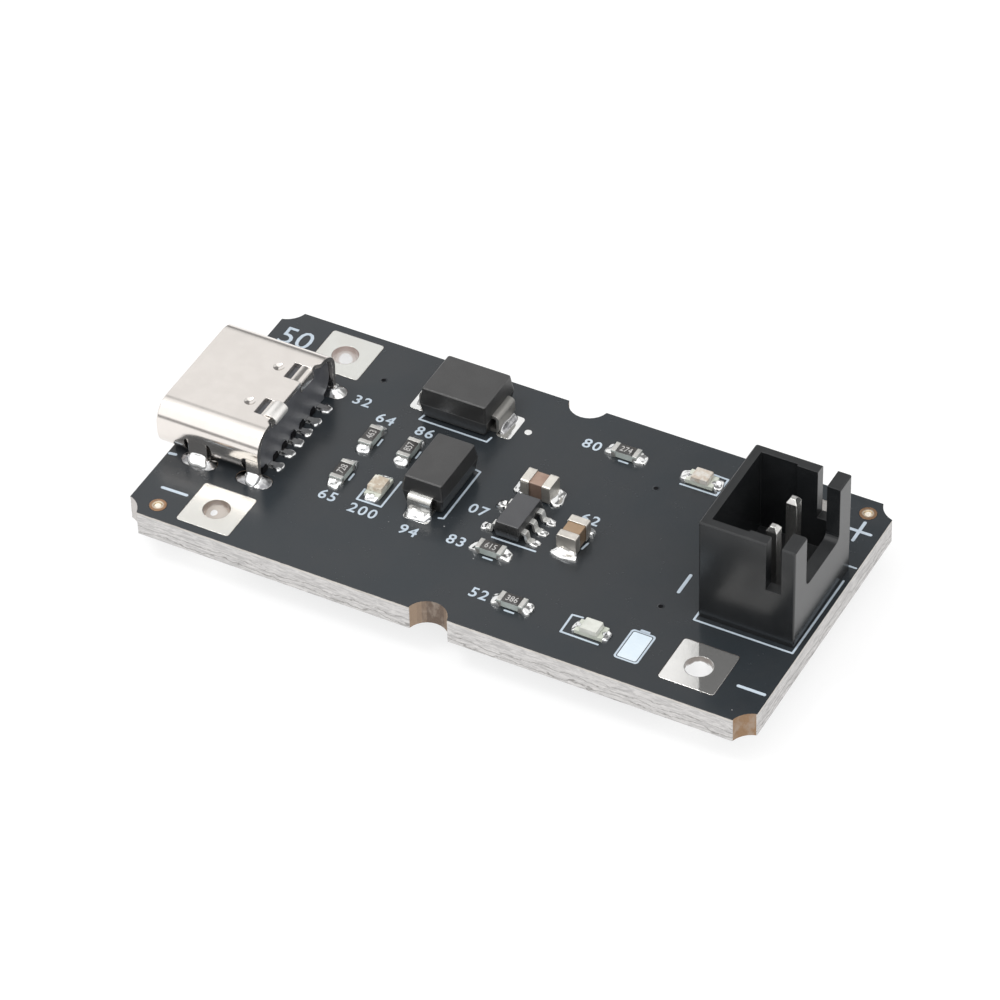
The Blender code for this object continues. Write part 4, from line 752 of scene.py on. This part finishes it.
def drawLands():
    # flat tinned copper with slightly uneven sides, dark plates over it beside the socket's tails as painted
    # shadow,
    # and the vias: each a raised lacquered ring round a dark disc, painted shade for its hole
    look, tips = landLook, tailTips()
    places = lands + [((out - tailLand["back"], across), tailLand["half"]) for out, across in tips]
    parts = [slab(roundedRect(centre, half, min(look["corner"], min(half) * 0.98), look["wobble"]), boardTop,
                  boardTop + look["rise"]) for centre, half in places]
    piece("tinned_lands", parts, finish["tinned"])
    # dark plates at the moulding's foot: painted shadow under it beside each tail
    face = boxOf("usb_moulding")[1][0]
    parts = [slab(roundedRect((face, across + gap["aside"]), gap["half"], gap["corner"]),
                  boardTop + gap["lift"], gap["top"], gap["ease"]) for out, across in tips]
    piece("socket_painted_shadows", parts, finish["hole"], 40)
    parts = [slab(disc(at, vias["ring"]), boardTop, boardTop + vias["ringRise"], vias["ease"])
             for at in vias["at"]]
    piece("via_rings", parts, boardMaterial, 40)
    # a dark disc on each via: painted shade for its hole
    parts = [slab(disc(at, vias["radius"]), boardTop, boardTop + vias["rise"]) for at in vias["at"]]
    piece("via_hole_shade", parts, finish["hole"])
    for name in ringNames:
        outline = disc(middleOf(name), ringFill["radius"])
        fill = slab(outline, ringFill["low"], ringFill["high"], ringFill["ease"])
        piece(name + "_fill", [fill], finish["fill"], 40)


drawLands()


# Solder. Each joint: middle, half sizes along and across, height at the part's face, the way that it falls
# in degrees, how full it is (0 is a hollow fillet, 1 a round blob) and the height of its rim.

# points round and rings inwards, how square the footprint is, the power of the hollow fall, where the part's
# face stands along the footprint, and how deep the skin reaches into the board
jointShape = {"round": 48, "rings": 16, "square": 2.8, "hollow": 2.6, "face": -0.2, "under": 0.02}


def fillet(centre, half, top, toward, full, rim, seed, lump=0.16):
    # on a rounded footprint the height is a raised rim, plus a share that falls from the part's face
    # outwards: hollow as a power of the distance, or round as the root of one less its square
    look = jointShape
    angle = np.linspace(0, 2 * math.pi, look["round"], endpoint=False)
    r = np.linspace(1, 0.03, look["rings"])[:, None]
    c, s = np.cos(angle), np.sin(angle)
    reach = (np.abs(c) ** look["square"] + np.abs(s) ** look["square"]) ** (-1 / look["square"])
    reach = reach * (1 + 0.07 * np.sin(3 * angle + seed) + 0.05 * np.sin(5 * angle + 2.7 * seed))
    along, across = r * reach * c, r * reach * s
    out = np.clip((along - look["face"]) / (1 - look["face"]), 0, 1)
    hollow, blob = (1 - out) ** look["hollow"], np.sqrt(1 - out ** 2)
    lumps = 1 + lump * np.sin(3.3 * along + seed) * np.sin(4.1 * across + 1.3 * seed)
    edge = rim * (0.45 + 0.55 * r ** 2) * np.sqrt(1 - r ** 8)
    z = boardTop + (edge + top * (hollow + (blob - hollow) * full) * np.sqrt(1 - r ** 5)) * lumps
    flat = turned(np.stack([along * half[0], across * half[1]], -1), toward) + centre
    rings = np.concatenate([flat, z[..., None]], -1)
    foot = np.concatenate([flat[:1], np.full_like(z[:1, :, None], boardTop - look["under"])], -1)
    return tube(np.concatenate([foot, rings]))


solderAt = {
    # at both ends of each small part: how far the middle lies past its end, half sizes, height, fullness, rim
    "resistor": (0.10, (0.40, 0.46), 0.22, 0.6, 0.13), "lamp": (0.04, (0.26, 0.44), 0.16, 0.6, 0.10),
    "farLamp": (0.10, (0.38, 0.44), 0.18, 0.7, 0.12),
    "input_capacitor": (0.16, (0.44, 0.70), 0.16, 0.1, 0.20),
    "battery_capacitor": (0.16, (0.44, 0.80), 0.26, 0.6, 0.14),
    # at the chip's leads and the output diode's feet
    "single": [*(((2.62, y), (0.36, 0.27), 0.08, 0, 0.3, 0.10) for y in (-2.0, -1.05, -0.1)),
               ((-0.42, -1.95), (0.34, 0.30), 0.10, 180, 0.3, 0.12),
               ((-0.42, -0.06), (0.34, 0.34), 0.24, 180, 1.0, 0.10),
               ((-4.25, -2.90), (0.40, 0.76), 0.24, 270, 0.5, 0.10),
               ((-4.25, 2.46), (0.34, 0.74), 0.20, 90, 0.4, 0.10)],
    # at each of the socket's tails, its middle that far behind the tip
    "tail": ((0.32, 0.36), 0.09, 0, 0.9, 0.05), "tailBack": 0.26,
    # at the feet of the input diode
    "diode": [((x, 6.25), (0.28, 0.90), 0.30, toward, 0.0, 0.05) for x, toward in ((-3.32, 0), (-8.68, 180))],
    # on the outer face of the socket's legs, which rise at y either side: x, half length, height
    "legs": {"across": 4.53, "reach": 0.38, "full": 0.5, "rim": 0.04, "lump": 0.03,
             "at": [(-17.47, 0.62, 0.66), (-13.93, 0.46, 0.60)]},
}


def endJoints(names, facts):
    # one joint past each end of each part's box, along its longer side
    joints = []
    past, half, top, full, rim = facts
    for name in names:
        corners = np.array([boxOf(node) for node in nodes if node.startswith(name)])
        low, high = corners[:, 0].min(0)[:2], corners[:, 1].max(0)[:2]
        centre, reach = (low + high) / 2, (high - low) / 2
        axis = int(reach[1] > reach[0])
        for sign in (-1, 1):
            way = np.eye(2)[axis] * sign
            toward = math.degrees(math.atan2(way[1], way[0]))
            joints.append((centre + way * (reach[axis] + past), half, top, toward, full, rim))
    return joints


def drawSolder():
    # a joint at each end of each small part, at each foot, at each of the socket's tails and on its legs
    joints = endJoints(["resistor_%d" % i for i in range(1, 7)], solderAt["resistor"])
    for name in ("input_capacitor", "battery_capacitor"):
        joints += endJoints([name], solderAt[name])
    joints += endJoints(["power_lamp", "charging_lamp"], solderAt["lamp"])
    joints += endJoints(["charged_lamp"], solderAt["farLamp"])
    joints += solderAt["single"]
    joints += [((out - solderAt["tailBack"], across), *solderAt["tail"]) for out, across in tailTips()]
    parts = [fillet(*joint, seed=i * 1.7) for i, joint in enumerate(joints)]
    piece("small_part_solder", parts, finish["solder"], 60)
    # the input diode's feet: solder with a painted dark reflection and a painted highlight rim
    parts = [fillet(*joint, seed=i) for i, joint in enumerate(solderAt["diode"])]
    piece("input_diode_solder", parts, finish["darkReflectionSolder"], 60)
    legs = solderAt["legs"]
    parts = [fillet((x, side * legs["across"]), (legs["reach"], half), top, 90 * side, legs["full"],
                    legs["rim"], x * side, legs["lump"]) for x, half, top in legs["at"] for side in (-1, 1)]
    piece("socket_leg_solder", parts, finish["solder"], 60)


drawSolder()


# The curled tab at the shell's back, over the near window: the last stretch of each side is a little narrower
tab = {"centre": (-13.95, 4.52), "reach": (0.52, 0.38), "sides": (-2.36, -1.04), "sheet": 0.09,
       "turn": (152, -25), "points": 22, "last": 0.05, "narrower": 0.96}


def drawTab():
    # a strip of sheet bent to an arch: its middle line is part of an ellipse in x and z, carried along y
    angle = np.radians(np.linspace(*tab["turn"], tab["points"]))
    arc = np.column_stack([np.cos(angle), np.sin(angle)])
    centre, reach = np.array(tab["centre"]), np.array(tab["reach"])
    section = np.concatenate([centre + arc * reach, (centre + arc * (reach - tab["sheet"]))[::-1]])
    end = section.mean(0) + (section - section.mean(0)) * tab["narrower"]
    low, high = tab["sides"]
    rings = [atHeight(flat, y)[:, [0, 2, 1]] for flat, y in (
        (end, high), (section, high - tab["last"]), (section, low + tab["last"]), (end, low))]
    piece("socket_tab", [tube(np.stack(rings))], finish["tab"], 50)


drawTab()


# The resistors' own detail: a dark glazed top with plain figures, and a metal cap wrapped over each end

resistorLook = {"cap": 0.27, "wrap": 0.014, "capCorner": 0.05, "capEase": 0.04,
                "glaze": 0.012, "glazeIn": 0.03, "glazeGap": 0.02, "glazeCorner": 0.04, "glazeEase": 0.01,
                "figure": 0.44, "wide": 0.80, "rise": 0.004, "weight": 0.005,
                "codes": ["274", "386", "615", "463", "728", "857"]}


def drawResistors():
    # a cap is a thin plate set round each end; the glaze lies between the caps, with the figures on it
    look = resistorLook
    caps, glazes, marks = [], [], []
    for number, code in enumerate(look["codes"], 1):
        centre, half, axis, foot, top = resistorFacts(number)
        size = half + look["wrap"]
        size[axis] = (look["cap"] + look["wrap"]) / 2
        for sign in (-1, 1):
            at = centre + np.eye(2)[axis] * sign * (half[axis] - look["cap"] / 2)
            outline = roundedRect(at, size, look["capCorner"])
            caps.append(slab(outline, foot, top + look["wrap"], look["capEase"]))
        inner = half - look["glazeIn"]
        inner[axis] = half[axis] - look["cap"] - look["glazeGap"]
        glazed = top + look["glaze"]
        glazes.append(slab(roundedRect(centre, inner, look["glazeCorner"]), top, glazed, look["glazeEase"]))
        marks.append(figures(code, centre, look["figure"], look["rise"], look["weight"], 90 * axis, glazed,
                             look["wide"]))
    piece("resistor_caps", caps, finish["resistorEnd"], 40)
    piece("resistor_glazes", glazes, finish["resistorCoat"], 40)
    piece("resistor_figures", marks, finish["code"])


drawResistors()
print("small pieces made")


# Floor, light and camera. The bands of the sky are given as the sine of their height.

studio = {
    "floor": -1.86, "reach": 3000, "floorColour": 0.26, "lift": 0.76,
    "horizon": 0.35, "back": 1.0, "front": 1.30, "overhead": 1.30,   # how bright each part of the sky is
    "horizonEnds": (0.19, 0.25), "overheadStarts": (0.86, 0.92),
    "line": 0.45, "lineStarts": (0.76, 0.79), "lineEnds": (0.83, 0.86),   # the thin line, and how dark it is
    "facing": 118.98,    # the way the camera looks, in degrees from +X
    "panelEnd": 0.0506,  # where the back panel ends, as the tangent of the angle to the right of that
    "dark": 0.22, "darkFades": (0.7, 1.0), "darkTop": (0.84, 0.90),   # the unlit stretch beside the panel
    "turnsOver": 0.15,   # how far either side of the middle the front turns to the back
}
# each lamp's place, the side of its square and its watts
studioLamps = {"key": ((-160, -120, 420), 140, 0.55), "fill": ((300, -300, 300), 200, 0.30)}


def makeFloor():
    # a pale floor that is white where it isn't shaded
    look = studio
    mesh = bpy.data.meshes.new("floor")
    corners = np.array([(-1, -1), (1, -1), (1, 1), (-1, 1)]) * look["reach"]
    mesh.from_pydata((atHeight(corners, look["floor"]) * mm).tolist(), [], [(0, 1, 2, 3)])
    material, tree = newMaterial("floor")
    grain = add(tree, "Group", {"Place": place(tree), "Size": 0.4, "Depth": 0.0, "Spread": 0.05,
                                "Shade": 0.01}, node_tree=grainGroup)
    tone = times(tree, grain.outputs["Shade"], look["floorColour"])
    grey = add(tree, "CombineColor", {0: tone, 1: tone, 2: tone}).outputs[0]
    close(tree, {"Base Color": grey, "Roughness": 0.9, "Emission Color": (1, 1, 1, 1),
                 "Emission Strength": look["lift"], "Specular IOR Level": 0.1})
    mesh.materials.append(material)
    newObject("floor", mesh)


def makeSky():
    # brightness by height and side: dark at the horizon, brighter in front and overhead, a lit panel at the
    # back with a thin dark line over it, and an unlit stretch to its right; the camera itself sees white
    look = studio
    world = bpy.data.worlds.new("studio")
    bpy.context.scene.world = world
    world.use_nodes = True
    tree = world.node_tree
    tree.nodes.clear()
    across, away, up = axes(tree, add(tree, "TexCoord").outputs["Generated"])
    turn = math.radians(look["facing"])
    ahead = calc(tree, "ADD", times(tree, across, math.cos(turn)), times(tree, away, math.sin(turn)))
    right = calc(tree, "SUBTRACT", times(tree, across, math.sin(turn)), times(tree, away, math.cos(turn)))
    behind = spread(tree, ahead, -look["turnsOver"], look["turnsOver"])
    line = times(tree, spread(tree, up, *look["lineStarts"]), spread(tree, up, *look["lineEnds"], 1, 0),
                 behind, look["line"])
    level = calc(tree, "SUBTRACT", between(tree, behind, look["front"], look["back"]), line)
    level = between(tree, spread(tree, up, *look["overheadStarts"]), level, look["overhead"])
    slope = calc(tree, "DIVIDE", right, calc(tree, "MAXIMUM", ahead, 0.001))
    unlit = times(tree, spread(tree, slope, look["panelEnd"] - 0.001, look["panelEnd"] + 0.001),
                  spread(tree, slope, *look["darkFades"], 1, 0), behind,
                  spread(tree, up, *look["darkTop"], 1, 0))
    level = between(tree, unlit, level, look["dark"])
    level = between(tree, spread(tree, up, *look["horizonEnds"]), look["horizon"], level)
    strength = between(tree, add(tree, "LightPath").outputs["Is Camera Ray"], level, 1.0)
    back = add(tree, "Background", {"Color": (1, 1, 1, 1), "Strength": strength})
    tree.links.new(back.outputs[0], add(tree, "OutputWorld").inputs["Surface"])


def aim(holder, right, up, forward, at):
    # places and turns a lamp or a camera: its three axes are right, up and backward
    columns = np.column_stack([right, up, -forward, np.array(at) * mm])
    holder.matrix_world = Matrix(np.vstack([columns, [0, 0, 0, 1]]).tolist())


def makeLamps():
    # small soft lamps, each turned to the board's middle, for the sparkle on solder and edges
    for name, (at, side, power) in studioLamps.items():
        lamp = bpy.data.lights.new(name, "AREA")
        lamp.shape, lamp.size, lamp.energy = "SQUARE", side * mm, power
        forward = -np.array(at) / np.linalg.norm(at)
        right = np.cross(forward, (0, 0, 1))
        right /= np.linalg.norm(right)
        aim(newObject(name, lamp), right, np.cross(right, forward), forward, at)


# Where the photo was taken from: the place, then turn, dip and roll in degrees, and the focal length
view = {"at": (105.617, -191.749, 199.725), "yaw": 28.981, "pitch": 42.057, "roll": -1.677, "lens": 190.483}


def makeCamera():
    # forward, side and up come from turn and dip; roll then turns side and up about forward
    yaw, pitch, roll = (math.radians(view[key]) for key in ("yaw", "pitch", "roll"))
    forward = np.array([-math.sin(yaw) * math.cos(pitch), math.cos(yaw) * math.cos(pitch), -math.sin(pitch)])
    side = np.array([math.cos(yaw), math.sin(yaw), 0.0])
    up = np.cross(side, forward)
    camera = bpy.data.cameras.new("photo_camera")
    camera.sensor_width, camera.lens = 36.0, view["lens"]
    camera.clip_start, camera.clip_end = 0.01, 10.0
    holder = newObject("photo_camera", camera)
    aim(holder, side * math.cos(roll) + up * math.sin(roll), up * math.cos(roll) - side * math.sin(roll),
        forward, view["at"])
    bpy.context.scene.camera = holder


makeFloor()
makeSky()
makeLamps()
makeCamera()
bpy.context.scene.view_settings.view_transform = "Standard"
print("scene finished")
